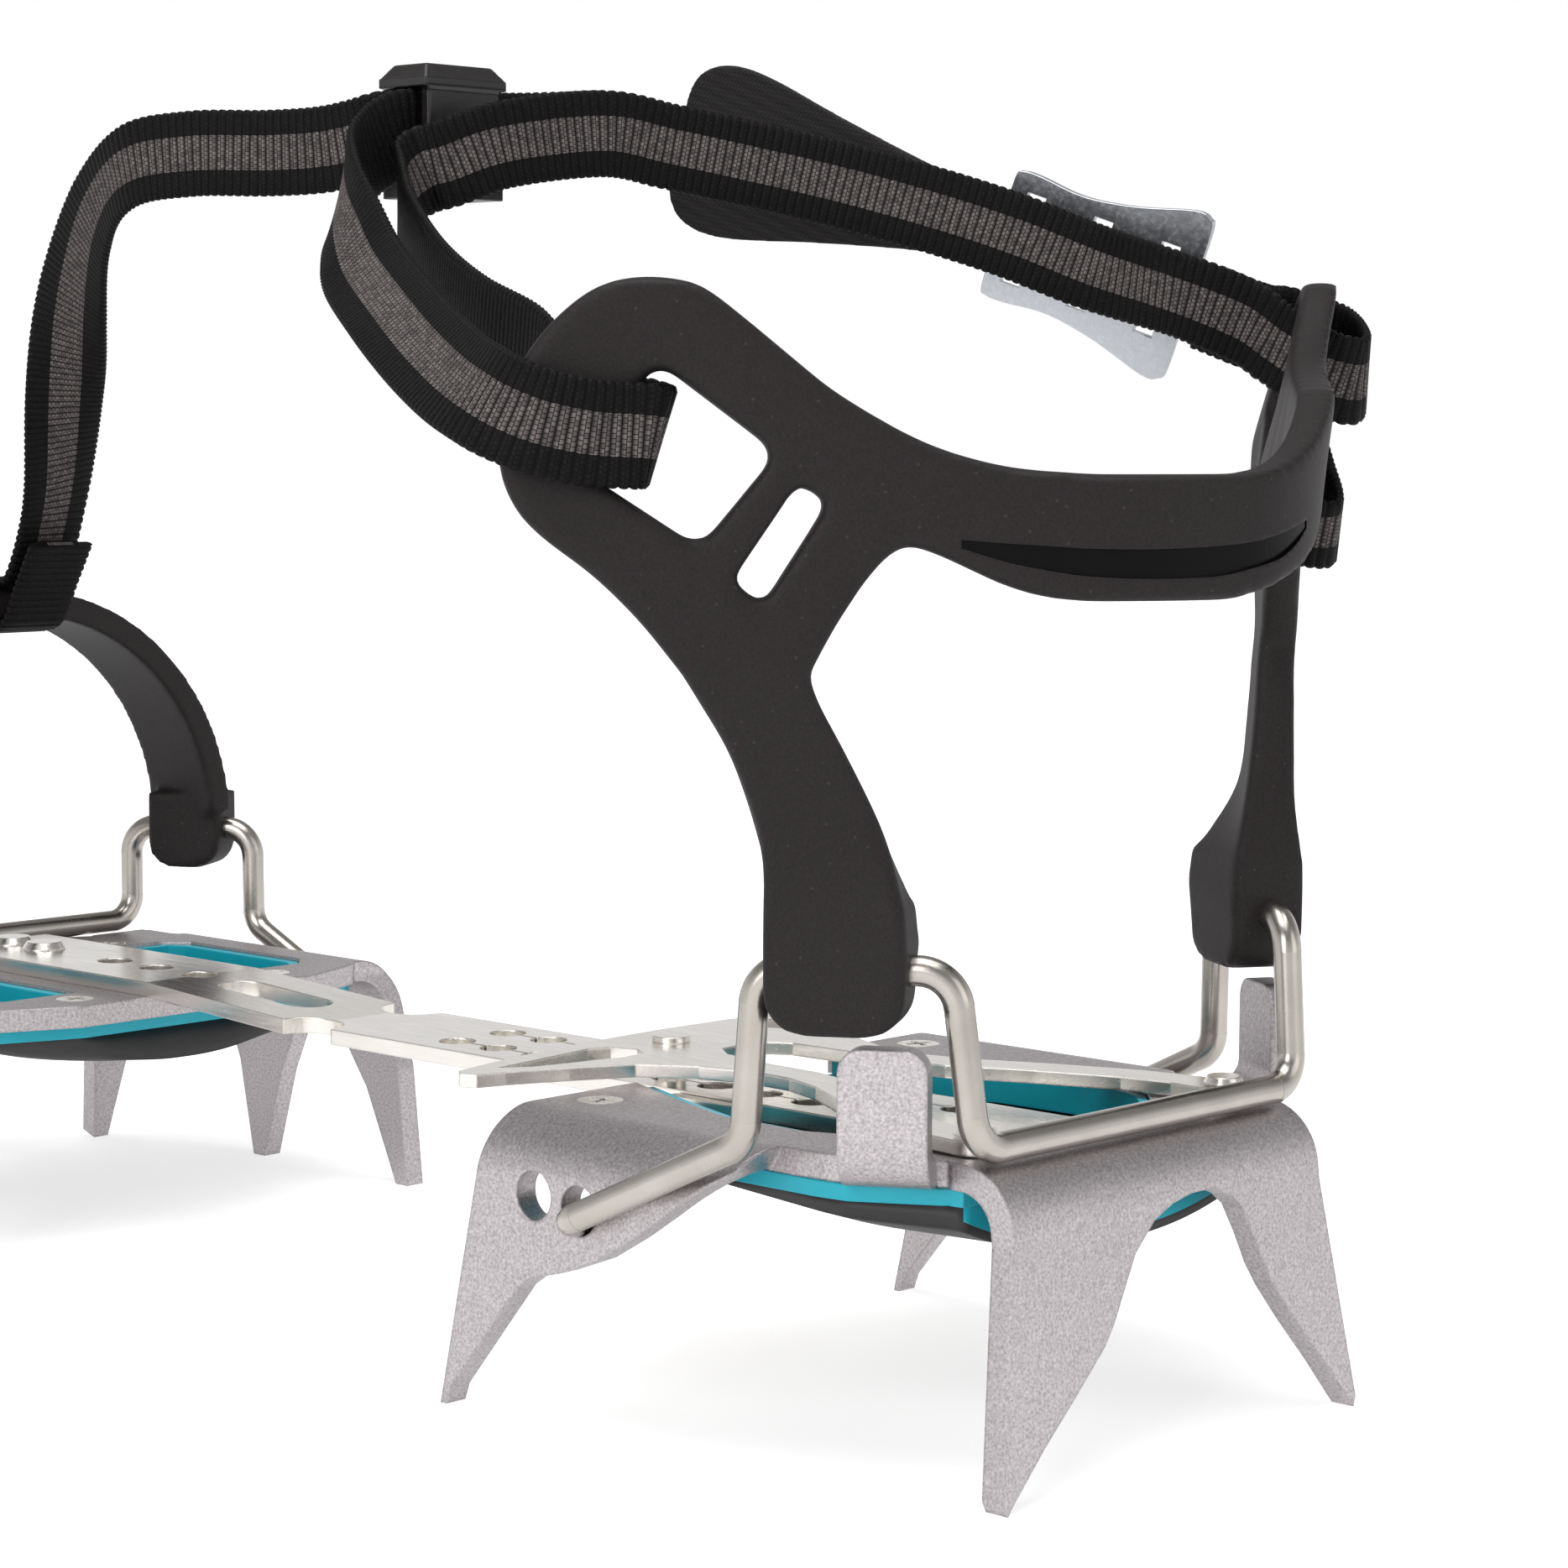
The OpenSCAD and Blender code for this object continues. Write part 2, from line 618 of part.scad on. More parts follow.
// Ankle strap: free end, slider, left arm, front of the ankle, right arm
up = [0, 0, 1];
lean_left = [-0.2, -0.2, 0.95];
lean_right = [-0.2, 0.2, 0.95];
lean_run = [-0.6, -0.57, 0.55];
ankle_route = [step([128.4, -21, 174], up), step([132, -15.4, 173.6], up), step([134.8, -9, 173.2], up),
    step([135.2, -1, 172.9], up), step([135.2, 6, 172.7], up), step([135.2, 12.6, 172.3], up),
    step([134.4, 19, 169.4], up), step([130.6, 26.6, 165.2], [-0.1, -0.1, 0.98]),
    step([123.5, 33.1, 161.9], [-0.25, -0.22, 0.93]), step([115, 39.6, 157], [-0.42, -0.4, 0.78]),
    step([105.9, 45.5, 152.4], [-0.55, -0.52, 0.62]), step([90.7, 52.8, 145.9], lean_run),
    step([75, 59.4, 140.2], lean_run), step([60, 69, 136.6], [-0.52, -0.5, 0.66]),
    step(arm_point(72.6, 134.4, -3, 1), [-0.4, -0.4, 0.8]),
    step(arm_point(72.2, 133.8, 1, 1), [-0.3, -0.3, 0.9]),
    step(arm_point(69.4, 133, 3.6, 1), lean_left), step(arm_point(63, 132.1, 3.9, 1), lean_left),
    step(arm_point(56, 131, 3.9, 1), lean_left), step(arm_point(51.6, 130, 3, 1), lean_left),
    step(arm_point(50.3, 129.6, 0, 1), lean_left), step(arm_point(51.6, 130.2, -3.1, 1), lean_left),
    step(arm_point(56, 131.6, -4.6, 1), lean_left), step(arm_point(61, 133.8, -7.5, 1), lean_left),
    step([58.4, 57.6, 140.1], up), step([75.5, 51.1, 143.6], up), step([92.1, 42.8, 148], up),
    step([107.1, 34, 153.4], up), step([119.5, 25.7, 158.5], up), step([126.9, 19.6, 163.4], up),
    step([128.4, 15.1, 166.4], up), step([126.4, 11.7, 167.7], up), step([121.9, 4.2, 170.7], up),
    step([116.9, -10.4, 172.7], up), step([112.5, -19.8, 171.1], up), step([104.7, -29.6, 168.6], up),
    step([95.5, -37.9, 165.8], up), step([84.9, -44.6, 162.4], up), step([73.7, -50.5, 158.7], up),
    step([62.6, -56.2, 154.2], up), step(arm_point(57, 148.8, -18.6, -1), lean_right),
    step(arm_point(53.2, 142.6, -8, -1), lean_right), step(arm_point(52.4, 138.6, -4.4, -1), lean_right),
    step(arm_point(51, 137.7, 0, -1), lean_right), step(arm_point(50.8, 137.2, 3, -1), lean_right),
    step(arm_point(52.2, 137, 5.2, -1), lean_right), step(arm_point(55.4, 138.2, 5.4, -1), lean_right),
    step(arm_point(62, 140.4, 4.8, -1), lean_right), step(arm_point(66.2, 142, 4.2, -1), lean_right),
    step(arm_point(67.8, 143.4, 1, -1), lean_right), step(arm_point(67.2, 144.6, -3, -1), lean_right),
    step(arm_point(63, 144.6, -5.6, -1), lean_right), step(arm_point(59.6, 145.4, -8.8, -1), lean_right),
    step(arm_point(57.8, 147.4, -14, -1), lean_right)];

module ankle_strap() {
    color("DarkSlateGray")
        local()
            ribbon(ankle_route, strap_w, strap_t);
}

// Buckle: a stamped plate with waisted sides and three slots
buckle_u = unit([26.5, 12, 10.5]);
buckle_n = unit(cross(buckle_u, [-0.3, 0, 0.95]));
buckle_w = cross(buckle_n, buckle_u);
buckle_at = [70.5, -66, 154.4];
function buckle_point(u, n) = buckle_at + u * buckle_u + n * buckle_n;

module buckle() {
    color("Silver")
        local()
            translate(buckle_at)
                multmatrix(turn(buckle_u, buckle_w, buckle_n))
                    linear_extrude(1.6, center = true)
                        difference() {
                            polygon([[-15, -12.6], [-12, -12.8], [-4, -10.4], [4, -9.2], [11, -9.8], [14, -9.6],
                                [15, -8], [15, 8], [14, 9.6], [11, 9.8], [4, 9.2], [-4, 10.4], [-12, 12.8],
                                [-15, 12.6], [-16, 11], [-16, -11]]);
                            for (x = [-12.4, -1.5, 9.4])
                                translate([x, -7])
                                    square([3, 14]);
                        }
}

// Buckle strap: from the slot of the right arm to the rear bar of the buckle
slot_lean = [-0.37, 0.39, 0.84];
buckle_route = [step(arm_point(40, 119.6, -7, -1), slot_lean), step(arm_point(37.2, 117.8, -6, -1), slot_lean),
    step(arm_point(36, 117, -3.4, -1), slot_lean), step(arm_point(35.9, 117, 2, -1), slot_lean),
    step(arm_point(36.6, 117.4, 5, -1), slot_lean), step(arm_point(40, 119.2, 6.6, -1), slot_lean),
    step(arm_point(46, 122.4, 7.4, -1), slot_lean), step(arm_point(52, 126.2, 7.7, -1), slot_lean),
    step(arm_point(58, 130, 7.6, -1), slot_lean), step(arm_point(64, 134, 7.3, -1), lean_right),
    step(arm_point(69.6, 137.6, 6.6, -1), lean_right), step(arm_point(73.6, 140.6, 4, -1), lean_right),
    step(arm_point(75.4, 143.6, -2.4, -1), buckle_w), step(buckle_point(-20, 1.9), buckle_w),
    step(buckle_point(-14.4, 1.9), buckle_w), step(buckle_point(-11.5, 1.4), buckle_w),
    step(buckle_point(-10.8, 0), buckle_w), step(buckle_point(-11.5, -1.4), buckle_w),
    step(buckle_point(-14.4, -1.9), buckle_w), step(buckle_point(-19, -2), buckle_w)];

module buckle_strap() {
    color("DarkSlateGray")
        local()
            ribbon(buckle_route, 11, strap_t);
}

// Flap: a fabric tongue looped on the front bar of the buckle
module buckle_flap() {
    color("DarkSlateGray")
        local()
            translate(buckle_at)
                multmatrix(turn(buckle_u, buckle_w, buckle_n)) {
                    rotate([90, 0, 0])
                        linear_extrude(12, center = true)
                            difference() {
                                translate([11.3, -1.9])
                                    square([8, 3.8]);
                                translate([12.1, -1.1])
                                    square([3.4, 2.2]);
                            }
                    linear_extrude(1.8, center = true)
                        translate([17, 0])
                            rotate(-4) {
                                polygon([[0, -6], [10, -6.4], [26, -9.6], [38, -12.8], [47.2, -12.8], [47.2, 12.8],
                                    [38, 12.8], [26, 9.6], [10, 6.4], [0, 6]]);
                                translate([47, -9])
                                    square([4, 18]);
                                for (y = [-9, 9])
                                    translate([47.2, y])
                                        circle(r = 3.8);
                            }
                }
}

// Slider: a moulded sleeve with two strap layers in it
module strap_slider() {
    color("DarkSlateGray")
        local()
            translate([137, 3, 172.8])
                rotate(90)
                    difference() {
                        union() {
                            cube([14, 9.4, 19.4], center = true);
                            cube([16, 7.8, 17.6], center = true);
                        }
                        cube([20, 6, 14.4], center = true);
                    }
}

// Front plate with eight points
front_side = [[207, 41], [207, 36], [202.6, 20], [200.4, 0], [203.4, 0], [211, 16], [217, 24], [221, 26.4],
    [229, 26.4], [234, 16], [239, 0], [242, 0], [245.6, 17], [251, 29], [256, 34], [256, 41]];
front_half = [[200, 24], [205, 36], [207.6, side_y - fold_r - 0.5], [256, side_y - fold_r - 0.5], [258, 38],
    [264, 38], [264.4, 26], [266, 23], [270, 21], [270, 8], [267, 6]];
front_window = [[212, 16], [212, 30], [216, 33.6], [246, 33.6], [250, 30], [250, 16]];
function inset_window(i) = [[212 + i, 16 + i], [212 + i, 30], [216 + i / 2, 33.6 - i], [246 - i / 2, 33.6 - i],
    [250 - i, 30], [250 - i, 16 + i]];
front_screws_at = [[207, 20], [254.6, 22]];
bar_rivets_at = [243, 252];

// Point bent down out of the plate at x: its length, its width at the base, the offset of its tip
module tongue(x, y, angle, length, base, lean) {
    h = sheet_t / 2;
    mitre = h * tan(angle / 2);
    along = length * [cos(angle), -sin(angle)];
    up_face = h * [sin(angle), cos(angle)];
    translate([x, y, front_bottom + h])
        intersection() {
            translate([0, base / 2, 0])
                rotate([90, 0, 0])
                    linear_extrude(base)
                        polygon([[-4, -h], [-4, h], [mitre, h], along + up_face, along - up_face, [-mitre, -h]]);
            rotate([0, angle, 0])
                translate([0, 0, -10])
                    linear_extrude(20)
                        polygon([[-12, -base], [1, -base / 2 - 0.5], [length * 0.4, -base / 2 + 1 + lean / 3],
                            [length + 1, lean - 1.4], [length + 1, lean + 1.4],
                            [length * 0.4, base / 2 - 1 + lean / 3], [1, base / 2 + 0.5], [-12, base]]);
        }
}

module front_plate() {
    color("Silver")
        front_local()
            difference() {
                union() {
                    translate([0, 0, front_bottom])
                        linear_extrude(sheet_t)
                            difference() {
                                plan(front_half);
                                both_sides()
                                    polygon(front_window);
                            }
                    both_sides() {
                        side_flange(196, 64, front_top, front_side);
                        tongue(270, 14.5, 36, 43, 12.4, 0);
                        tongue(264, 32, 71, (front_top - sheet_t / 2 - 0.55) / sin(71), 11, 3);
                    }
                }
                translate([toe_hole[0], 0, toe_hole[1]])
                    rotate([90, 0, 0])
                        cylinder(d = bail_hole_d, h = 120, center = true);
                both_sides()
                    for (s = front_screws_at)
                        translate([s[0], s[1], front_top])
                            screw(10, 0.1);
                for (x = bar_rivets_at)
                    translate([x, 0, 0])
                        cylinder(d = 4, h = 60);
            }
}

module bar_rivets() {
    color("DarkGray")
        front_local()
            for (x = bar_rivets_at)
                translate([x, 0, front_bottom]) {
                    cylinder(d = 4, h = sheet_t + bar_t + 0.05);
                    translate([0, 0, sheet_t + bar_t + 0.02])
                        cylinder(d1 = 7.4, d2 = 5.8, h = 1.3);
                    translate([0, 0, -1.2])
                        cylinder(d = 6.6, h = 1.2);
                }
}

front_frame_half = [[202, 22], [207, 36], [209, 38.6], [255, 38.6], [258, 36]];

module front_frame() {
    color("DarkTurquoise")
        front_local()
            difference() {
                union() {
                    translate([0, 0, front_bottom - frame_t])
                        linear_extrude(frame_t)
                            plan(front_frame_half);
                    both_sides()
                        translate([0, 0, front_bottom - 0.5])
                            linear_extrude(sheet_t)
                                polygon(inset_window(0.3));
                }
                both_sides() {
                    linear_extrude(60)
                        polygon(inset_window(2.1));
                    for (s = front_screws_at)
                        translate([s[0], s[1], 0])
                            cylinder(d = 3.1, h = 60);
                }
                for (x = bar_rivets_at)
                    translate([x, 0, 0])
                        cylinder(d = 8, h = 60);
            }
}

module front_membrane() {
    color("DimGray")
        front_local()
            difference() {
                dish(230, front_bottom - frame_t - 5.8, front_bottom - frame_t)
                    plan([[204, 24], [207, 36], [209, 38.6], [255, 38.6], [257, 36]]);
                both_sides()
                    for (s = front_screws_at)
                        translate([s[0], s[1], 0])
                            cylinder(d = 3.1, h = 60);
            }
}

module front_screws() {
    color("WhiteSmoke")
        front_local()
            both_sides()
                for (s = front_screws_at)
                    translate([s[0], s[1], front_top])
                        difference() {
                            screw(sheet_t + frame_t + 1, 0);
                            cross_recess();
                        }
}

// Toe bail: the same wire form, turned to the front
toe_rod = [[246, 47.6], [266, 36]];
toe_bail_left = [[toe_hole[0], 41, toe_hole[1] - wire_drop], [toe_hole[0], 50.8, toe_hole[1] - wire_drop],
    [246, 47.8, front_top + wire_d / 2 + 0.1], [246, 47.6, arch_z], [266, 36, arch_z],
    [266, 36, front_top + wire_d / 2 + 0.1]];

module toe_bail() {
    color("Gray")
        front_local()
            wire(concat(toe_bail_left, [for (i = [5 : -1 : 0])
                [toe_bail_left[i][0], -toe_bail_left[i][1], toe_bail_left[i][2]]]), bail_bends, wire_d);
}

// Toe basket: an arch over the toe with a foot on each rod and a slot for the strap
module toe_foot() {
    translate([256, 41.8, arch_z])
        rotate(-30.1)
            difference() {
                translate([-6.6, 4.6, 0])
                    rotate([90, 0, 0])
                        linear_extrude(9.2) {
                            translate([0, -2.5])
                                square([13.2, 9]);
                            translate([4.5, -7])
                                square([4.2, 12]);
                            for (x = [4.5, 8.7])
                                translate([x, -2.5])
                                    circle(r = 4.5);
                        }
                rotate([0, 90, 0])
                    cylinder(d = wire_d + 0.2, h = 60, center = true);
            }
}

module toe_basket() {
    color("DarkSlateGray")
        front_local() {
            difference() {
                translate([247, 0, arch_z])
                    rotate([90, 0, 90])
                        linear_extrude(18)
                            intersection() {
                                difference() {
                                    circle(r = arch_r + arch_t, $fn = 120);
                                    circle(r = arch_r, $fn = 120);
                                }
                                translate([-60, 3])
                                    square([120, 60]);
                            }
                translate([254, -8, arch_z])
                    cube([4.4, 16, 60]);
            }
            both_sides()
                toe_foot();
        }
}

// Toe strap: from the slider forward, turned flat and looped through the toe basket
across = [0, 1, 0];
arch_top = arch_z + arch_r + arch_t;
function ahead(x) = x + stretch * max(0, min(1, (x - 146) / 90));
toe_route = [step([138.7, -5, 172.8], up), step([138.7, 2, 172.8], up), step([138.7, 8.6, 172.8], up),
    step([139.1, 12.4, 172.4], up), step([141.4, 15.6, 171.2], up), step([ahead(146.8), 18.2, 170.2], up),
    step([ahead(155), 21.6, 169.9], up), step([ahead(166), 27, 170], up), step([ahead(178), 29.6, 168.4], up),
    step([ahead(192), 25.6, 162], [0, 0.25, 0.95]), step([ahead(208), 17.6, 150], [0, 0.6, 0.8]),
    step([ahead(223), 8.6, 135.4], [0, 0.88, 0.45]),
    step([ahead(236), 1, 119], across), step([ahead(243), 0, arch_top + 3.4], across),
    step([ahead(248), 0, arch_top + 1.6], across), step([ahead(253), 0, arch_top + 1.4], across),
    step([ahead(256.2), 0, arch_top - 1], across), step([ahead(256.6), 0, arch_top - 3.6], across),
    step([ahead(254.2), 0, arch_top - arch_t - 1.8], across), step([ahead(249), 0, arch_top - arch_t - 2], across),
    step([ahead(244.6), 0, arch_top - arch_t - 0.4], across), step([ahead(240.6), 0, arch_top + 1.4], across),
    step([ahead(236.4), 0, arch_top + 8], across)];

module toe_strap() {
    color("DarkSlateGray")
        local()
            ribbon(toe_route, strap_w, strap_t);
}

heel_plate();
link_bar();
lock_leaf();
lock_pin();
leaf_rivets();
bar_guide();
heel_frame();
heel_membrane();
heel_screws();
heel_bail();
heel_harness();
ankle_strap();
buckle_strap();
buckle();
buckle_flap();
strap_slider();
front_plate();
bar_rivets();
front_frame();
front_membrane();
front_screws();
toe_bail();
toe_basket();
toe_strap();
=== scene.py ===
import math

import bmesh
import bpy
from mathutils import Matrix, Vector


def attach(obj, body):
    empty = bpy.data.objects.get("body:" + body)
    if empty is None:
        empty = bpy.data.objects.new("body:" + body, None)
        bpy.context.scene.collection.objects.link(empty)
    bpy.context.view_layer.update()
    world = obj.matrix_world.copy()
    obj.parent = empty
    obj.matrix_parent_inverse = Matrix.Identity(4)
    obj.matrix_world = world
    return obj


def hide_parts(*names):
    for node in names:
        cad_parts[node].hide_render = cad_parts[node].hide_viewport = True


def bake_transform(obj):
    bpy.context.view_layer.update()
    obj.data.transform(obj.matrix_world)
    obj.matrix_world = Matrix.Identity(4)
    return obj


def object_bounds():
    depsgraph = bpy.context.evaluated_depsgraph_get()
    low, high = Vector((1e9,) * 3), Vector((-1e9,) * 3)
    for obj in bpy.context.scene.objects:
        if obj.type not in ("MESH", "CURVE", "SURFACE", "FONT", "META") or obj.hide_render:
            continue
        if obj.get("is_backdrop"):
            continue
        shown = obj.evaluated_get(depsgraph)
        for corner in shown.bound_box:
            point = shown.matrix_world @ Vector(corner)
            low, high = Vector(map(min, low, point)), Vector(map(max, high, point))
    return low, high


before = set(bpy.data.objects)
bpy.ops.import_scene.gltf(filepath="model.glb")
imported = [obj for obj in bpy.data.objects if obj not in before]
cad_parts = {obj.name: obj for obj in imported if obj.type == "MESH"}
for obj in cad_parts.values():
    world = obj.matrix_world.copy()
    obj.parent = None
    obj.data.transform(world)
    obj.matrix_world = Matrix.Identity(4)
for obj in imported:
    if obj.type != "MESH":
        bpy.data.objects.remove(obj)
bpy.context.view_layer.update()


# Camera: a long lens half a metre behind the left of the heel, a little above the harness
# arms, so that the front half of the part runs out of the left side of the picture.
yaw = math.radians(46.74)
pitch = math.radians(5.561)
roll = math.radians(0.206)
ahead = Vector((math.cos(yaw) * math.cos(pitch), -math.sin(yaw) * math.cos(pitch), -math.sin(pitch)))
right = Vector((-math.sin(yaw), -math.cos(yaw), 0))
over = right.cross(ahead)
turned_right = right * math.cos(roll) + over * math.sin(roll)
turned_over = over * math.cos(roll) - right * math.sin(roll)
lens = bpy.data.cameras.new("camera")
lens.lens = 87.54
lens.sensor_width = 36
lens.clip_start = 0.01
lens.clip_end = 20
camera = bpy.data.objects.new("camera", lens)
camera.matrix_world = Matrix((turned_right, turned_over, -ahead)).transposed().to_4x4()
camera.location = (-0.43354, 0.3811, 0.1323)
bpy.context.scene.collection.objects.link(camera)
bpy.context.scene.camera = camera
bpy.context.scene.view_settings.view_transform = "Standard"


# Floor and studio: a white sheet under the part, white all round, one large soft lamp
# overhead and two at the sides, as in a plain catalogue picture.
def linear(code):
    parts = [int(code[i:i + 2], 16) / 255 for i in (1, 3, 5)]
    return [c / 12.92 if c <= 0.04045 else ((c + 0.055) / 1.055) ** 2.4 for c in parts] + [1]


def add(tree, kind, inputs=None, **settings):
    node = tree.nodes.new(kind)
    for name, value in settings.items():
        setattr(node, name, value)
    for socket, value in (inputs or {}).items():
        if isinstance(value, bpy.types.NodeSocket):
            tree.links.new(value, node.inputs[socket])
        else:
            node.inputs[socket].default_value = value
    return node


def show(name, shape):
    mesh = bpy.data.meshes.new(name)
    shape.to_mesh(mesh)
    shape.free()
    piece = bpy.data.objects.new(name, mesh)
    bpy.context.scene.collection.objects.link(piece)
    return piece


sheet_shape = bmesh.new()
bmesh.ops.create_grid(sheet_shape, x_segments=1, y_segments=1, size=4)
floor = show("floor", sheet_shape)
floor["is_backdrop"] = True
paper = bpy.data.materials.new("white_paper")
paper.use_nodes = True
tree = paper.node_tree
tree.nodes.clear()
seen = add(tree, "ShaderNodeLightPath")
ground = add(tree, "ShaderNodeTexCoord")
far = add(tree, "ShaderNodeVectorMath", {0: ground.outputs["Object"]}, operation="LENGTH")
fade = add(tree, "ShaderNodeMapRange", {"Value": far.outputs["Value"], "From Min": 0.2, "From Max": 0.8,
                                        "To Min": 0.64, "To Max": 1.0})
bare = add(tree, "ShaderNodeMath", {0: seen.outputs["Is Camera Ray"], 1: seen.outputs["Is Transmission Ray"]},
           operation="MAXIMUM")
direct = add(tree, "ShaderNodeMath", {0: bare.outputs[0], 1: fade.outputs[0]}, operation="MULTIPLY")
mirrored = add(tree, "ShaderNodeMath", {0: seen.outputs["Is Glossy Ray"], 1: 0.5}, operation="MULTIPLY")
glow = add(tree, "ShaderNodeMath", {0: direct.outputs[0], 1: mirrored.outputs[0]}, operation="MAXIMUM")
matte = add(tree, "ShaderNodeBsdfDiffuse", {"Color": linear("#F4F4F4")})
light_back = add(tree, "ShaderNodeEmission", {"Color": linear("#FFFFFF"), "Strength": glow.outputs[0]})
both = add(tree, "ShaderNodeAddShader", {0: matte.outputs[0], 1: light_back.outputs[0]})
add(tree, "ShaderNodeOutputMaterial", {"Surface": both.outputs[0]})
floor.data.materials.append(paper)

studio = bpy.data.worlds.new("studio")
bpy.context.scene.world = studio
studio.use_nodes = True
tree = studio.node_tree
tree.nodes.clear()
seen = add(tree, "ShaderNodeLightPath")
bare = add(tree, "ShaderNodeMath", {0: seen.outputs["Is Camera Ray"], 1: seen.outputs["Is Transmission Ray"]},
           operation="MAXIMUM")
way = add(tree, "ShaderNodeTexCoord")
height = add(tree, "ShaderNodeSeparateXYZ", {0: way.outputs["Generated"]})
walls = add(tree, "ShaderNodeMapRange", {"Value": height.outputs[2], "From Min": 0.1, "From Max": 0.55,
                                         "To Min": 1.0, "To Max": 0.3})
around = add(tree, "ShaderNodeMapRange", {"Value": seen.outputs["Is Glossy Ray"], "To Min": 0.25,
                                          "To Max": walls.outputs[0]})
level = add(tree, "ShaderNodeMapRange", {"Value": bare.outputs[0], "To Min": around.outputs[0], "To Max": 1.0})
sky = add(tree, "ShaderNodeBackground", {"Color": linear("#FFFFFF"), "Strength": level.outputs[0]})
add(tree, "ShaderNodeOutputWorld", {"Surface": sky.outputs[0]})

for name, spot, aim, wide, power in (
        ("lamp_over", (-0.1, 0.1, 0.9), (-0.06, 0, 0.08), 0.7, 4.6),
        ("lamp_left", (-0.25, 0.95, 0.5), (-0.08, 0, 0.09), 0.6, 3.6),
        ("lamp_behind", (-0.95, -0.15, 0.45), (-0.08, 0, 0.09), 0.6, 1.1)):
    lamp = bpy.data.lights.new(name, "AREA")
    lamp.size = wide
    lamp.energy = power
    holder = bpy.data.objects.new(name, lamp)
    holder.location = spot
    holder.rotation_mode = "QUATERNION"
    holder.rotation_quaternion = (Vector(aim) - Vector(spot)).to_track_quat("-Z", "Y")
    bpy.context.scene.collection.objects.link(holder)


# Heel plate: one piece of aluminium sheet 3.5 mm thick, cut, folded down into two side flanges
# and a rear flange with the points, and bead-blasted all over.
def dress(material, *names):
    for name in names:
        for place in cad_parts[name].material_slots:
            place.material = material


def start_material(name):
    material = bpy.data.materials.new(name)
    material.use_nodes = True
    tree = material.node_tree
    return material, tree, tree.nodes["Principled BSDF"]


def grain(tree, size, detail, **settings):
    place = add(tree, "ShaderNodeTexCoord")
    inputs = {"Vector": place.outputs["Object"], "Scale": 1 / size, "Detail": detail, **settings}
    return add(tree, "ShaderNodeTexNoise", inputs).outputs[0]


def vary_roughness(tree, surface, share, least, most):
    spread = add(tree, "ShaderNodeMapRange", {"Value": share, "To Min": least, "To Max": most})
    tree.links.new(spread.outputs[0], surface.inputs["Roughness"])


def raise_relief(tree, surface, height, strength, deep, edge=None):
    inputs = {"Strength": strength, "Distance": deep, "Height": height}
    if edge:
        inputs["Normal"] = add(tree, "ShaderNodeBevel", {"Radius": edge}, samples=4).outputs[0]
    relief = add(tree, "ShaderNodeBump", inputs)
    tree.links.new(relief.outputs[0], surface.inputs["Normal"])


# Bead-blasted aluminium: the beads leave small dimples about 0.4 mm across that sparkle, so
# the metal looks pale and satin, with no clear reflections. Sheared edges are slightly rounded.
blasted, tree, surface = start_material("bead_blasted_aluminium")
dimples = grain(tree, 0.0004, 2.5, Roughness=0.65)
tone = add(tree, "ShaderNodeValToRGB", {"Fac": dimples})
tone.color_ramp.elements[0].position = 0.3
tone.color_ramp.elements[0].color = linear("#9F999B")
tone.color_ramp.elements[1].position = 0.7
tone.color_ramp.elements[1].color = linear("#D2CCCE")
tree.links.new(tone.outputs[0], surface.inputs["Base Color"])
vary_roughness(tree, surface, grain(tree, 0.02, 2), 0.38, 0.5)
raise_relief(tree, surface, dimples, 0.55, 0.00008, edge=0.0007)
surface.inputs["Metallic"].default_value = 1
dress(blasted, "heel_plate", "front_plate")


# Link bar and lock leaf: stamped spring steel strip, nickel plated, with bright sheared edges.
# The leaf is riveted at its rear legs and springs on the bar; its pin holds the bar's length.
def blend_tone(tree, surface, share, one, other):
    tone = add(tree, "ShaderNodeMix", {0: share, 6: linear(one), 7: linear(other)}, data_type="RGBA")
    tree.links.new(tone.outputs[2], surface.inputs["Base Color"])


bright, tree, surface = start_material("nickel_plated_steel")
place = add(tree, "ShaderNodeTexCoord")
streaks = add(tree, "ShaderNodeMapping", {"Vector": place.outputs["Object"], "Scale": (0.06, 1, 1)})
rolled = add(tree, "ShaderNodeTexNoise", {"Vector": streaks.outputs[0], "Scale": 1 / 0.0005, "Detail": 3})
blend_tone(tree, surface, grain(tree, 0.012, 2), "#DCD7D0", "#F2EEE9")
vary_roughness(tree, surface, rolled.outputs[0], 0.16, 0.34)
raise_relief(tree, surface, rolled.outputs[0], 0.12, 0.00003, edge=0.0004)
surface.inputs["Metallic"].default_value = 1
dress(bright, "link_bar", "lock_leaf", "lock_pin", "leaf_rivets", "bar_rivets", "heel_screws", "front_screws",
      "bar_guide")


# Snow plate frame: a turquoise lip and wall, injection moulded in polyamide and held under the
# plate by two screws. It is smooth, with a soft sheen and slightly rounded edges.
turquoise, tree, surface = start_material("turquoise_polyamide")
blend_tone(tree, surface, grain(tree, 0.009, 3), "#12B6CC", "#22C9DD")
edge = add(tree, "ShaderNodeBevel", {"Radius": 0.0004}, samples=4)
tree.links.new(edge.outputs[0], surface.inputs["Normal"])
surface.inputs["Roughness"].default_value = 0.38
surface.inputs["IOR"].default_value = 1.53
dress(turquoise, "heel_frame", "front_frame")


# Snow plate skins: black rubber domes 1.6 mm thick, moulded on the frames, that snap out and throw
# off balled snow. The heel's one is deepest at the rear, where its wall is turquoise.
centre = 145.54386537906137


def here(x, y, z):
    return Vector((x - centre, y, z)) / 1000


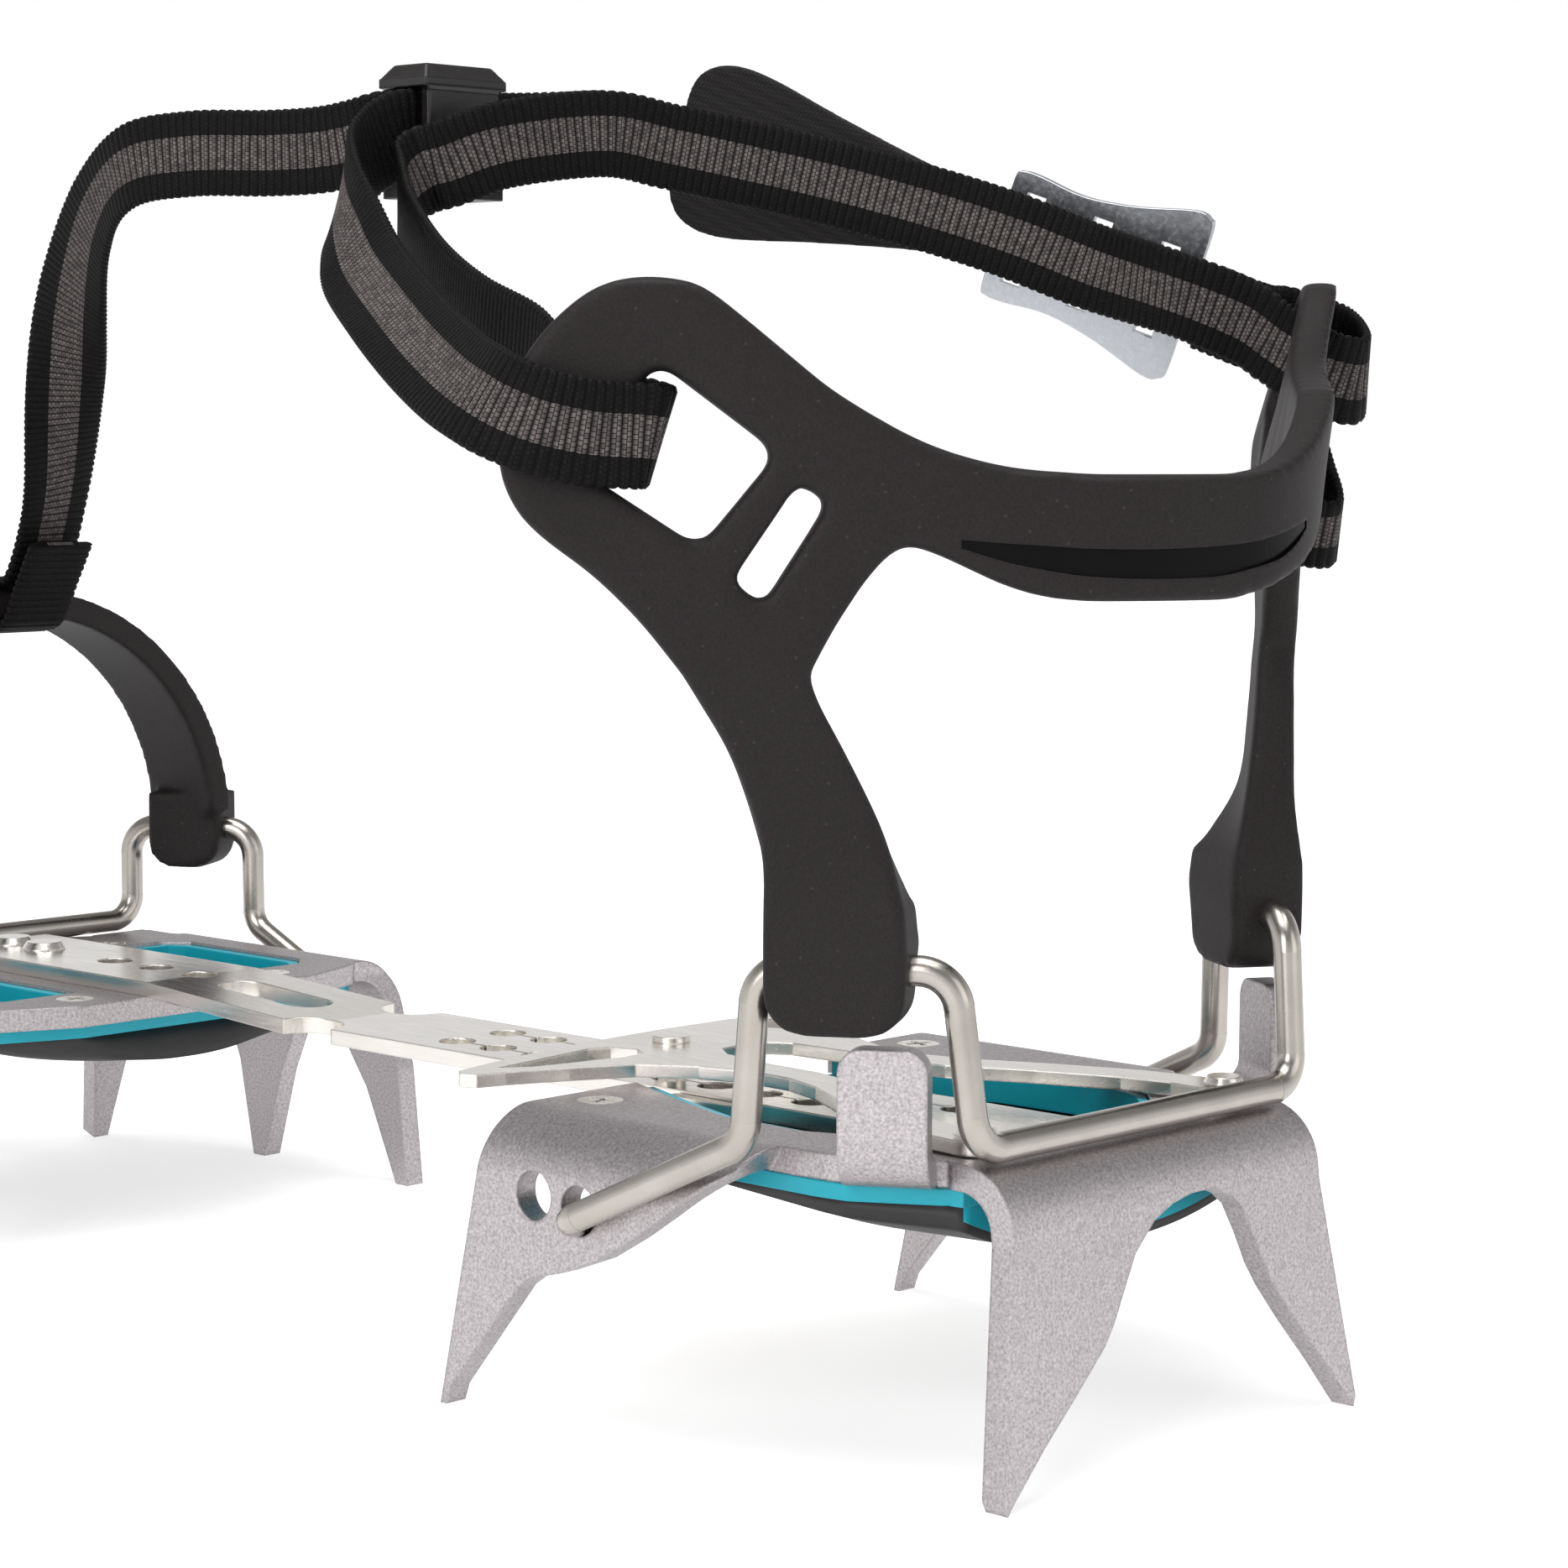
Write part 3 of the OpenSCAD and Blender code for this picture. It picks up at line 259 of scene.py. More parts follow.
def skin(name, half, top, rear_deep, front_deep, rear_rim):
    shape = bmesh.new()
    bmesh.ops.create_grid(shape, x_segments=40, y_segments=40, size=0.5)
    for v in shape.verts:
        along, side = v.co.x + 0.5, v.co.y * 2
        x = half[0][0] + along * (half[-1][0] - half[0][0])
        wide = next(a[1] + (b[1] - a[1]) * (x - a[0]) / (b[0] - a[0])
                    for a, b in zip(half, half[1:]) if x <= b[0] + 1e-6)
        rim = 0.5 + rear_rim * max(0, 1 - along / 0.64)
        deep = rear_deep + (front_deep - rear_deep) * along
        v.co = here(x, side * wide, top - rim - (deep - rim) * (1 - abs(side) ** 2.4))
    black_strip = 0.0012
    for is_strip in (True, False):
        edges = [e for e in shape.edges if e.is_boundary]
        raised = bmesh.ops.extrude_edge_only(shape, edges=edges)["geom"]
        for v in raised:
            if isinstance(v, bmesh.types.BMVert):
                v.co.z = min(v.co.z + black_strip, top / 1000 - 0.00005) if is_strip else top / 1000
    bmesh.ops.recalc_face_normals(shape, faces=shape.faces)
    if min(shape.faces, key=lambda f: f.calc_center_median().z).normal.z > 0:
        bmesh.ops.reverse_faces(shape, faces=shape.faces)
    for face in shape.faces:
        face.smooth = True
        face.material_index = int(rear_rim > 0 and face.calc_center_median().x < here(half[0][0], 0, 0).x + 2e-5
                                  and max(v.co.z for v in face.verts) > top / 1000 - 2e-5)
    bmesh.ops.solidify(shape, geom=shape.faces[:], thickness=0.0016)
    bmesh.ops.recalc_face_normals(shape, faces=shape.faces)
    return show(name, shape)


heel_skin = skin("heel_skin", [(11, 31), (13, 31.4), (24, 38), (29, 38.6), (66, 38.6)], 35.4, 8.8, 4.6, 2.4)
front_skin = skin("front_skin", [(204, 24), (207, 36), (209, 38.6), (255, 38.6), (257, 36)], 33.3, 5.8, 5.8, 0)
rubber, tree, surface = start_material("black_rubber_skin")
blend_tone(tree, surface, grain(tree, 0.006, 4), "#1A191A", "#29282A")
surface.inputs["Roughness"].default_value = 0.5
surface.inputs["IOR"].default_value = 1.52
for piece, body, node in ((heel_skin, "heel", "heel_membrane"), (front_skin, "front_unit", "front_membrane")):
    piece.data.materials.append(rubber)
    piece.data.materials.append(turquoise)
    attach(piece, body)
    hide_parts(node)


# Bails: drawn stainless wire 3.8 mm thick, bent to shape and sprung into the holes of the
# flanges. It is smooth and fairly glossy, with fine drawing marks.
drawn, tree, surface = start_material("drawn_stainless_wire")
marks = grain(tree, 0.0006, 3)
blend_tone(tree, surface, grain(tree, 0.008, 2), "#A9A39C", "#C6C1BB")
vary_roughness(tree, surface, marks, 0.22, 0.3)
raise_relief(tree, surface, marks, 0.03, 0.00003)
surface.inputs["Metallic"].default_value = 1
dress(drawn, "heel_bail", "toe_bail")


# Heel harness: one black elastomer moulding, a band round the heel with an arm on each side,
# and a leg from each arm to a foot that holds the wire. Its edges are well rounded.
band_x, band_r, arm_t = 25.7, 38, 5
band_low, band_high, band_climb = 110, 125.2, 10.7
left_splay, right_splay = 47, 50.5
climb_from, climb_to = 165, 270 - right_splay
rod_x, rod_y, rod_angle = 7.75, 32.5, 31.3


def arm_spot(t, z, off, splay, side):
    c, s = math.cos(math.radians(splay)), math.sin(math.radians(splay))
    return here(band_x + t * c - (band_r + off) * s, side * (t * s + (band_r + off) * c), z)


def lean(z, side):
    return 0 if side > 0 else -4.9 + 0.26 * max(0, z - 127)


def climb_share(angle):
    return (angle - climb_from) / (climb_to - climb_from)


def ease(angle):
    share = max(0, min(1, climb_share(angle)))
    return share * share * (3 - 2 * share)


def smooth_line(points, steps):
    line = []
    last = len(points) - 1
    for i in range(last):
        a, b, c, d = (Vector(points[j]) for j in (max(i - 1, 0), i, i + 1, min(i + 2, last)))
        for k in range(steps):
            s = k / steps
            line.append((2 * b + (c - a) * s + (2 * a - 5 * b + 4 * c - d) * s ** 2
                         + (3 * b - a - 3 * c + d) * s ** 3) / 2)
    return line + [Vector(points[last])]


def loop(shape, corners):
    corners = [shape.verts.new(c) for c in corners]
    return [shape.edges.new((corners[i - 1], corners[i])) for i in range(len(corners))]


def slab(shape, loops, shift):
    edges = [e for corners in loops for e in loop(shape, corners)]
    filled = bmesh.ops.triangle_fill(shape, use_beauty=True, edges=edges)["geom"]
    faces = [f for f in filled if isinstance(f, bmesh.types.BMFace)]
    raised = bmesh.ops.extrude_face_region(shape, geom=faces, use_keep_orig=True)["geom"]
    bmesh.ops.translate(shape, verts=[v for v in raised if isinstance(v, bmesh.types.BMVert)], vec=shift)


def loft(shape, sections):
    end = shape.faces.new([shape.verts.new(p) for p in sections[0]])
    bmesh.ops.duplicate(shape, geom=[end])
    for section in sections[1:]:
        end = bmesh.ops.extrude_discrete_faces(shape, faces=[end])["faces"][0]
        for corner, spot in zip(end.verts, section):
            corner.co = spot


def foot_line(rear, front, top, low, radius):
    turns = [k * math.pi / 12 for k in range(7)]
    line = [(rear, top), (rear, low)]
    line += [(rear + radius - radius * math.cos(a), low - radius * math.sin(a)) for a in turns[1:]]
    line += [(front - radius + radius * math.sin(a), low - radius * math.cos(a)) for a in turns]
    return line + [(front, top)]


def mould(shape, name, grid, rounds):
    bmesh.ops.remove_doubles(shape, verts=shape.verts, dist=1e-6)
    bmesh.ops.recalc_face_normals(shape, faces=shape.faces)
    piece = show(name, shape)
    fused = piece.modifiers.new("fused", "REMESH")
    fused.mode = "VOXEL"
    fused.voxel_size = grid
    soft = piece.modifiers.new("soft", "SMOOTH")
    soft.factor = 0.5
    soft.iterations = rounds
    settled = bpy.data.meshes.new_from_object(piece.evaluated_get(bpy.context.evaluated_depsgraph_get()))
    piece.modifiers.clear()
    piece.data = settled
    for face in piece.data.polygons:
        face.use_smooth = True
    return piece


arm_line = [(-2, 110), (4, 110.5), (9, 111.9), (12.6, 113.5), (18, 115.9), (21.5, 116.4), (25, 113.4),
            (29, 107.5), (32, 102)]
arm_front = [(48, 102), (52.5, 107.6), (58, 113), (64.3, 117.8), (67.4, 121.4), (69, 126), (68.8, 131),
             (67.1, 136.5), (64.1, 141.4), (59.1, 146), (55, 147.8), (51.2, 148.2), (47.4, 147.8), (44.3, 146.6),
             (38.4, 142), (33.5, 138), (28.5, 134.2), (18.6, 128.8), (8.6, 126), (-2, 125.2)]
window = [(51, 137.4), (49.4, 137.4), (37.4, 128.4), (37, 126.6), (44.6, 117.4), (46.6, 117.2), (58.6, 125),
          (58.8, 126.8)]
slot = [(33.8, 124), (30.2, 121.8), (37.9, 109.7), (41.6, 112.4)]
right_line = [(-2, 121), (8, 119.6), (16, 117.6), (21.5, 116.2), (25, 113.4), (29, 107.5), (32, 102)]
right_front = arm_front[:7] + [
    (67.1, 137), (64.1, 142.4), (59.1, 148), (55, 150.2), (51.2, 150.8), (47.4, 150.2), (44.3, 148.6), (38.4, 144.6),
    (33.5, 141.8), (28.5, 139.8), (18.6, 137.8), (8.6, 136.6), (-2, 135.2)]
# Each leg section: height, rear and front edge along the arm, offset, thickness, share of the arm's own splay.
leg_sections = [(108, 35, 50.6, 0, 4.8, 1), (102, 32.6, 47.8, -0.2, 5, 0.95), (98, 31.2, 45.4, -0.9, 5.2, 0.8),
                (91, 27.4, 41.4, -2.8, 5.6, 0.6), (81, 22.6, 38, -5.2, 6.8, 0.3)]
foot_rear, foot_front, foot_half = 8.2, 25.8, 5
harness_shape = bmesh.new()
for side, splay in ((1, left_splay), (-1, right_splay)):
    if side > 0:
        outline, opening = smooth_line(arm_line, 3) + smooth_line(arm_front, 3), window
    else:
        outline = smooth_line(right_line, 3) + smooth_line(right_front, 3)
        opening = [(t, z + (9.4 if z > 130 else 8)) for t, z in window]
    slab(harness_shape, [[arm_spot(p[0], p[1], lean(p[1], side) - arm_t / 2, splay, side) for p in line]
                         for line in (outline, opening, slot)],
         arm_spot(0, 0, arm_t, splay, side) - arm_spot(0, 0, 0, splay, side))
    sections = []
    for z, rear, front, off, thick, share in leg_sections:
        own = share * splay + (1 - share) * left_splay
        off = min(off, lean(z, side))
        sections.append([arm_spot(t, z, off + h, own, side) for t, h in (
            (rear, -thick / 2), (front, -thick / 2), (front, thick / 2), (rear, thick / 2))])
    c, s = math.cos(math.radians(rod_angle)), math.sin(math.radians(rod_angle))
    for z in (71, 64):
        sections.append([here(rod_x + t * c - h * s, side * (rod_y + t * s + h * c), z) for t, h in (
            (foot_rear, -foot_half), (foot_front, -foot_half), (foot_front, foot_half), (foot_rear, foot_half))])
    loft(harness_shape, list(zip(*[smooth_line([section[k] for section in sections], 4) for k in range(4)])))
    foot = foot_line(foot_rear, foot_front, 73, 62, 5)
    slab(harness_shape, [[here(rod_x + t * c + foot_half * s, side * (rod_y + t * s - foot_half * c), z)
                          for t, z in foot]], Vector((-2 * foot_half * s, side * 2 * foot_half * c, 0)) / 1000)
band_centre = here(band_x, 0, 0)
flat_steps, climb_steps = 14, 27
band = [Vector((band_r - arm_t / 2, 0, band_low)), Vector((band_r + arm_t / 2, 0, band_low)),
        Vector((band_r + arm_t / 2, 0, band_high)), Vector((band_r - arm_t / 2, 0, band_high))]
band_face = harness_shape.faces.new([harness_shape.verts.new(p / 1000) for p in band])
turn = Matrix.Rotation(math.radians(90 + left_splay), 4, "Z")
bmesh.ops.transform(harness_shape, matrix=Matrix.Translation(band_centre) @ turn, verts=band_face.verts)
bmesh.ops.duplicate(harness_shape, geom=[band_face])
flat_part = bmesh.ops.spin(harness_shape, geom=[band_face], cent=band_centre, axis=(0, 0, 1),
                           angle=math.radians(climb_from - 90 - left_splay), steps=flat_steps)
climbing = [f for f in flat_part["geom_last"] if isinstance(f, bmesh.types.BMFace)]
before_climb = set(harness_shape.verts)
bmesh.ops.spin(harness_shape, geom=climbing, cent=band_centre, axis=(0, 0, 1),
               dvec=(0, 0, band_climb / 1000 / climb_steps), angle=math.radians(climb_to - climb_from),
               steps=climb_steps)
for v in set(harness_shape.verts) - before_climb:
    reach = Vector((v.co.x - band_centre.x, v.co.y, 0))
    angle = 180 + math.degrees(math.atan2(-reach.y, -reach.x))
    share = climb_share(angle)
    upper = v.co.z * 1000 > (band_low + band_high) / 2 + band_climb * share
    v.co.z += band_climb / 1000 * (share ** 2 * (2 - share) - share) * (1 if upper else 0.5)
    v.co += reach.normalized() * lean(v.co.z * 1000, -1) / 1000 * ease(angle)
harness = mould(harness_shape, "harness", 0.0006, 28)

# The recess round the back of the band is a lens-shaped hollow up to 1 mm deep, moulded smooth.
# Each row: run along the band from the left arm, lower edge, upper edge.
recess_rows = [(-14.5, 116.4, 117.4), (-9.1, 114.8, 117), (-4.1, 113.8, 116.7), (0.9, 113.1, 116.4),
               (8.2, 112.8, 116.3), (16.1, 113, 116.6), (21, 113.8, 117), (26.3, 114.9, 117.9),
               (30.4, 116.6, 118.8), (33.6, 118.5, 119.4)]


def round_back(run, z, out):
    if run < 0:
        return arm_spot(-run, z, out, left_splay, 1)
    a = math.radians(90 + left_splay) + run / band_r
    reach = band_r + out + lean(z, -1) * ease(math.degrees(a))
    return here(band_x + reach * math.cos(a), reach * math.sin(a), z)


cutter_shape = bmesh.new()
recess_sections = []
for run, low, high in smooth_line(recess_rows, 5):
    floor_out = 1.5 + 0.9 * abs((run - 9.5) / 24.1) ** 3
    recess_sections.append([round_back(run, z, out) for z, out in (
        (low, floor_out), (high, floor_out), (high, 6), (low, 6))])
loft(cutter_shape, recess_sections)
bmesh.ops.remove_doubles(cutter_shape, verts=cutter_shape.verts, dist=1e-7)
bmesh.ops.recalc_face_normals(cutter_shape, faces=cutter_shape.faces)
cutter = show("recess_cutter", cutter_shape)

# Moulded elastomer: a fine spark-eroded grain about 0.35 mm across gives a dull, slightly
# speckled black; the recess is polished in the mould and stays darker.
grained, tree, surface = start_material("grained_black_elastomer")
grit = grain(tree, 0.00035, 3)
place = add(tree, "ShaderNodeTexCoord")
speck = add(tree, "ShaderNodeTexVoronoi", {"Vector": place.outputs["Object"], "Scale": 1 / 0.0022})
dot = add(tree, "ShaderNodeMapRange", {"Value": speck.outputs["Distance"], "From Min": 0.05, "From Max": 0.11,
                                       "To Min": 0.5, "To Max": 0.0})
tone = add(tree, "ShaderNodeMix", {0: grit, 6: linear("#151212"), 7: linear("#352F30")}, data_type="RGBA")
dusty = add(tree, "ShaderNodeMix", {0: dot.outputs[0], 6: tone.outputs[2], 7: linear("#4E4948")}, data_type="RGBA")
tree.links.new(dusty.outputs[2], surface.inputs["Base Color"])
raise_relief(tree, surface, grit, 0.3, 0.00005)
surface.inputs["Roughness"].default_value = 0.56
surface.inputs["Specular IOR Level"].default_value = 0.22
polished, tree, surface = start_material("polished_black_elastomer")
blend_tone(tree, surface, grain(tree, 0.004, 3), "#040404", "#0A0909")
surface.inputs["Roughness"].default_value = 0.26
surface.inputs["Specular IOR Level"].default_value = 0.12
harness.data.materials.append(grained)
harness.data.materials.append(polished)
cutter.data.materials.append(grained)
cutter.data.materials.append(polished)
for face in cutter.data.polygons:
    face.material_index = 1
hollow = harness.modifiers.new("recess", "BOOLEAN")
hollow.operation = "DIFFERENCE"
hollow.solver = "EXACT"
hollow.object = cutter
hollowed = bpy.data.meshes.new_from_object(harness.evaluated_get(bpy.context.evaluated_depsgraph_get()))
harness.modifiers.clear()
harness.data = hollowed
bpy.data.objects.remove(cutter)
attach(harness, "heel_harness_unit")
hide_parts("heel_harness")

# Ankle strap: polyamide webbing 12.6 mm wide, striped on one face. It starts in the slider, loops
# through the left window, goes round the front of the ankle and is sewn round the right arm.
rib = 1.3
rib_steps = 4
strap_wide, strap_thick = 12.6, 1.4


def swept(route):
    line = smooth_line(route, 30)
    walked = [0]
    for a, b in zip(line, line[1:]):
        walked.append(walked[-1] + (b - a).to_3d().length)
    count = int(walked[-1] / (rib / rib_steps))
    spots, k = [], 0
    for i in range(count + 1):
        at = walked[-1] * i / count
        while walked[k + 1] < at and k < len(line) - 2:
            k += 1
        spots.append(line[k].lerp(line[k + 1], (at - walked[k]) / max(walked[k + 1] - walked[k], 1e-9)))
    return spots


def webbing(name, spots, wide, striped, first=0):
    shape = bmesh.new()
    weave = shape.verts.layers.float_vector.new("weave")
    end = None
    for i, spot in enumerate(spots):
        place = spot.to_3d()
        run = (spots[min(i + 1, len(spots) - 1)].to_3d() - spots[max(i - 1, 0)].to_3d()).normalized()
        out = run.cross(Vector(spot[3:6])).normalized()
        across = out.cross(run)
        swell = abs(math.sin(math.pi * (first + i) / rib_steps)) ** 0.6
        section = []
        for face_side in (1, -1):
            for v in (-1, -0.9, -0.6, -0.3, 0, 0.3, 0.6, 0.9, 1):
                v = v * face_side
                half = wide / 2 * v * (0.96 + 0.04 * swell)
                high = strap_thick / 2 * (0.74 + 0.26 * swell) * (0.45 if abs(v) == 1 else 1)
                section.append((place + across * half + out * high * face_side, (v + 1) / 2 * wide,
                                face_side * striped))
        if end is None:
            end = shape.faces.new([shape.verts.new() for corner in section])
            bmesh.ops.duplicate(shape, geom=[end])
            caps = list(shape.faces)
        else:
            caps = [bmesh.ops.extrude_discrete_faces(shape, faces=[end])["faces"][0]]
        for cap in caps:
            for corner, (at, y, outer) in zip(cap.verts, section):
                corner.co = here(*at)
                corner[weave] = ((first + i) * rib / rib_steps, y, outer)
        end = caps[0]
    bmesh.ops.remove_doubles(shape, verts=shape.verts, dist=1e-7)
    bmesh.ops.recalc_face_normals(shape, faces=shape.faces)
    for face in shape.faces:
        face.smooth = len(face.verts) == 4
    return show(name, shape)


def arm_point(t, z, off, side):
    p = arm_spot(t, z, off, left_splay if side > 0 else right_splay, side) * 1000
    return (p.x + centre, p.y, z)


upright = (0, 0, 1)
lean_left = (-0.2, -0.2, 0.95)
lean_right = (-0.2, 0.2, 0.95)
lean_run = (-0.6, -0.57, 0.55)
ankle_route = [(x, y, z, *upright) for x, y, z in (
    (128.4, -21, 174), (132, -15.4, 173.6), (134.8, -9, 173.2), (135.2, -1, 172.9), (135.2, 6, 172.7),
    (135.2, 12.6, 172.3), (134.4, 19, 169.4))]
ankle_route += [
    (130.6, 26.6, 165.2, -0.1, -0.1, 0.98), (122.6, 34.2, 160.6, -0.25, -0.22, 0.93),
    (114, 40.4, 156, -0.42, -0.4, 0.78), (104.1, 46.7, 151.2, -0.55, -0.52, 0.62), (86.1, 57.6, 145.6, *lean_run),
    (73.7, 64.6, 141.7, -0.57, -0.54, 0.6), (63, 70.4, 138.6, -0.52, -0.49, 0.66),
    (53.7, 75.1, 136.1, -0.46, -0.43, 0.73), (46.9, 77.9, 134.4, -0.38, -0.36, 0.82),
    (42.4, 78.5, 132.9, -0.32, -0.31, 0.87), (38.1, 76.7, 131.2, -0.26, -0.26, 0.91),
    (34.8, 73.1, 130.1, *lean_left)]
ankle_route += [(*arm_point(t, z, off, 1), *lean_left) for t, z, off in (
    (56, 129.7, 4.1), (51.6, 129.5, 3), (50.3, 129.4, 0), (51.6, 130, -3.1), (56, 131.2, -4.6), (61, 133.2, -7.5))]
ankle_route += [(x, y, z, *upright) for x, y, z in (
    (58.4, 57.6, 138.9), (75.5, 51.1, 143.2), (92.1, 42.8, 148), (107.1, 34, 153.4), (119.5, 25.7, 158.5),
    (126.9, 19.6, 163.4), (128.4, 15.1, 166.4), (126.4, 11.7, 167.7), (121.9, 4.2, 170.7), (116.9, -10.4, 172.7),
    (112.5, -19.8, 171.1), (104.7, -29.6, 168.6), (95.5, -37.9, 165.8), (84.9, -44.6, 162.4),
    (73.7, -50.5, 158.4), (62.6, -56.2, 153.6))]
ankle_route += [(*arm_point(t, z, off, -1), *lean_right) for t, z, off in (
    (57, 149.3, -18.6), (54.4, 145.5, -9.4), (52.8, 142.7, -5.4), (51.6, 140.9, -2.8), (50.9, 138.7, 0.6),
    (50.6, 137.4, 4), (52, 137, 6.8), (55.4, 138.2, 7.9), (62, 140.4, 7.2), (66.2, 142, 5.4), (67.8, 143.4, 1.4),
    (67.2, 144.6, -3), (63, 144.6, -5.6), (59.6, 145.4, -8.8), (57.8, 147.4, -14))]
ankle_strap = webbing("ankle_strap_webbing", swept(ankle_route), strap_wide, 1)

# Woven polyamide: ribs 1.3 mm apart stand up across the strap, each of two rows of yarn about
# 0.6 mm wide; a grey stripe runs down one face, and the yarn catches small lights. The grooves
# between the ribs are darkened in the colour itself, as painted shade.
woven, tree, surface = start_material("striped_polyamide_webbing")
black_yarn = linear("#1D1A1A")
laid = add(tree, "ShaderNodeAttribute", attribute_name="weave")
axes = add(tree, "ShaderNodeSeparateXYZ", {0: laid.outputs["Vector"]})
rows = add(tree, "ShaderNodeCombineXYZ", {0: axes.outputs[1], 1: axes.outputs[0]})
yarn = add(tree, "ShaderNodeTexBrick", {
    "Vector": rows.outputs[0], "Color1": linear("#FFFFFF"), "Color2": linear("#B4B4B4"),
    "Mortar": linear("#4A4A4A"), "Scale": 1, "Mortar Size": 0.09, "Mortar Smooth": 0.8, "Brick Width": 0.62,
    "Row Height": rib / 2}, offset=0.5, offset_frequency=2, squash=1)
share = add(tree, "ShaderNodeMath", {0: axes.outputs[1], 1: strap_wide}, operation="DIVIDE")
stripe = add(tree, "ShaderNodeValToRGB", {0: share.outputs[0]})
stripe.color_ramp.interpolation = "CONSTANT"
stripe.color_ramp.elements[0].color = black_yarn
stripe.color_ramp.elements[1].position = 0.3
stripe.color_ramp.elements[1].color = linear("#8A8280")
stripe.color_ramp.elements.new(0.7).color = black_yarn
outside = add(tree, "ShaderNodeMath", {0: axes.outputs[2], 1: 0.0}, operation="GREATER_THAN")
faced = add(tree, "ShaderNodeMix", {0: outside.outputs[0], 6: black_yarn, 7: stripe.outputs[0]}, data_type="RGBA")
thread = add(tree, "ShaderNodeMix", {0: 1, 6: faced.outputs[2], 7: yarn.outputs[0]}, data_type="RGBA",
             blend_type="MULTIPLY")
# Painted shade: the base colour drops to 5% in the grooves between the ribs, where shade falls.
crest = add(tree, "ShaderNodeMath", {0: axes.outputs[0], 1: rib / 2}, operation="PINGPONG")
groove_painted_shade = add(tree, "ShaderNodeMapRange", {"Value": crest.outputs[0], "From Max": rib * 0.32, "To Min": 0.05})
ribs_with_painted_shade = add(tree, "ShaderNodeMix", {0: 1, 6: thread.outputs[2], 7: groove_painted_shade.outputs[0]}, data_type="RGBA",
             blend_type="MULTIPLY")
tree.links.new(ribs_with_painted_shade.outputs[2], surface.inputs["Base Color"])
raise_relief(tree, surface, yarn.outputs[0], 0.6, 0.00015)
surface.inputs["Roughness"].default_value = 0.58
surface.inputs["Specular IOR Level"].default_value = 0.12
ankle_strap.data.materials.append(woven)
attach(ankle_strap, "heel_harness_unit")
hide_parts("ankle_strap")


# Buckle: a stamped steel plate 1.6 mm thick with waisted sides, three slots and rolled edges,
# zinc plated. It hangs on the buckle strap and carries the pull flap.
buckle_thick = 1.6
run = Vector((26.5, 12, 10.5)).normalized()
face_out = run.cross(Vector((-0.3, 0, 0.95))).normalized()
rise = face_out.cross(run)
buckle_at = Vector((70.5, -66, 154.4))


def buckle_spot(u, v, n):
    return buckle_at + run * u + rise * v + face_out * n


buckle_edge = [(-16, 0), (-16, 10.6), (-15.2, 12.4), (-12.6, 12.8), (-4, 10.4), (4, 9.2), (11, 9.8), (14, 9.7),
               (15, 8.4), (15, 0)]
upper = [tuple(p) for p in smooth_line(buckle_edge, 4)]
outline = upper[:-1] + [(u, -v) for u, v in reversed(upper[1:])]
slots = [[(x, -7), (x + 3, -7), (x + 3, 7), (x, 7)] for x in (-12.4, -1.5, 9.4)]
buckle_shape = bmesh.new()
slab(buckle_shape, [[here(*buckle_spot(u, v, -buckle_thick / 2)) for u, v in line] for line in [outline] + slots],
     face_out * buckle_thick / 1000)
bmesh.ops.remove_doubles(buckle_shape, verts=buckle_shape.verts, dist=1e-7)
bmesh.ops.recalc_face_normals(buckle_shape, faces=buckle_shape.faces)
sharp = [e for e in buckle_shape.edges if e.is_manifold and e.calc_face_angle() > 0.9]
bmesh.ops.bevel(buckle_shape, geom=sharp, offset=0.0004, offset_type="OFFSET", segments=3, profile=0.5,
                affect="EDGES", material=-1, clamp_overlap=True)
buckle = show("plated_buckle", buckle_shape)
plated, tree, surface = start_material("zinc_plated_steel")
crystals = grain(tree, 0.0008, 3)
blend_tone(tree, surface, crystals, "#A2A5AB", "#C6C9CE")
vary_roughness(tree, surface, crystals, 0.18, 0.34)
raise_relief(tree, surface, crystals, 0.15, 0.00005)
surface.inputs["Metallic"].default_value = 1
buckle.data.materials.append(plated)
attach(buckle, "heel_harness_unit")
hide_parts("buckle")


# Buckle strap: the short lower strap, from the slot of the right arm round the outside of the
# loop to the rear bar of the buckle, cut a little narrower from the same webbing.
slot_lean = (-0.37, 0.39, 0.84)
buckle_route = [(*arm_point(t, z, off, -1), *slot_lean) for t, z, off in (
    (40, 119.6, -8.8), (37.2, 117.8, -8.2), (36, 117, -5.6), (35.8, 116, -0.8), (36.6, 116, 2.4), (40, 117.8, 3),
    (46, 121.6, 2.2), (52, 126, 1.4), (58, 130, 1.3))]
buckle_route += [(*arm_point(t, z, off, -1), *lean_right) for t, z, off in (
    (64, 134, 2.1), (69.6, 137.6, 3), (73.6, 140.6, 2.4))]
buckle_route += [(*arm_point(75.4, 143.6, -2.4, -1), *rise)]
buckle_route += [(*buckle_spot(u, 0, n), *rise) for u, n in (
    (-20, 1.9), (-14.4, 1.9), (-11.5, 1.4), (-10.8, 0), (-11.5, -1.4), (-14.4, -1.9), (-19, -2))]
buckle_strap = webbing("buckle_strap_webbing", swept(buckle_route), 11, 1)
buckle_strap.data.materials.append(woven)
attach(buckle_strap, "heel_harness_unit")
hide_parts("buckle_strap")


# Pull flap: two layers of fine black fabric sewn round the front bar of the buckle, widening to
# a round end that a gloved hand can pull.
flap_thick = 1.8


def flap_spot(u, v, n):
    c, s = math.cos(math.radians(-4)), math.sin(math.radians(-4))
    return here(*buckle_spot(17 + u * c - v * s, u * s + v * c, n))


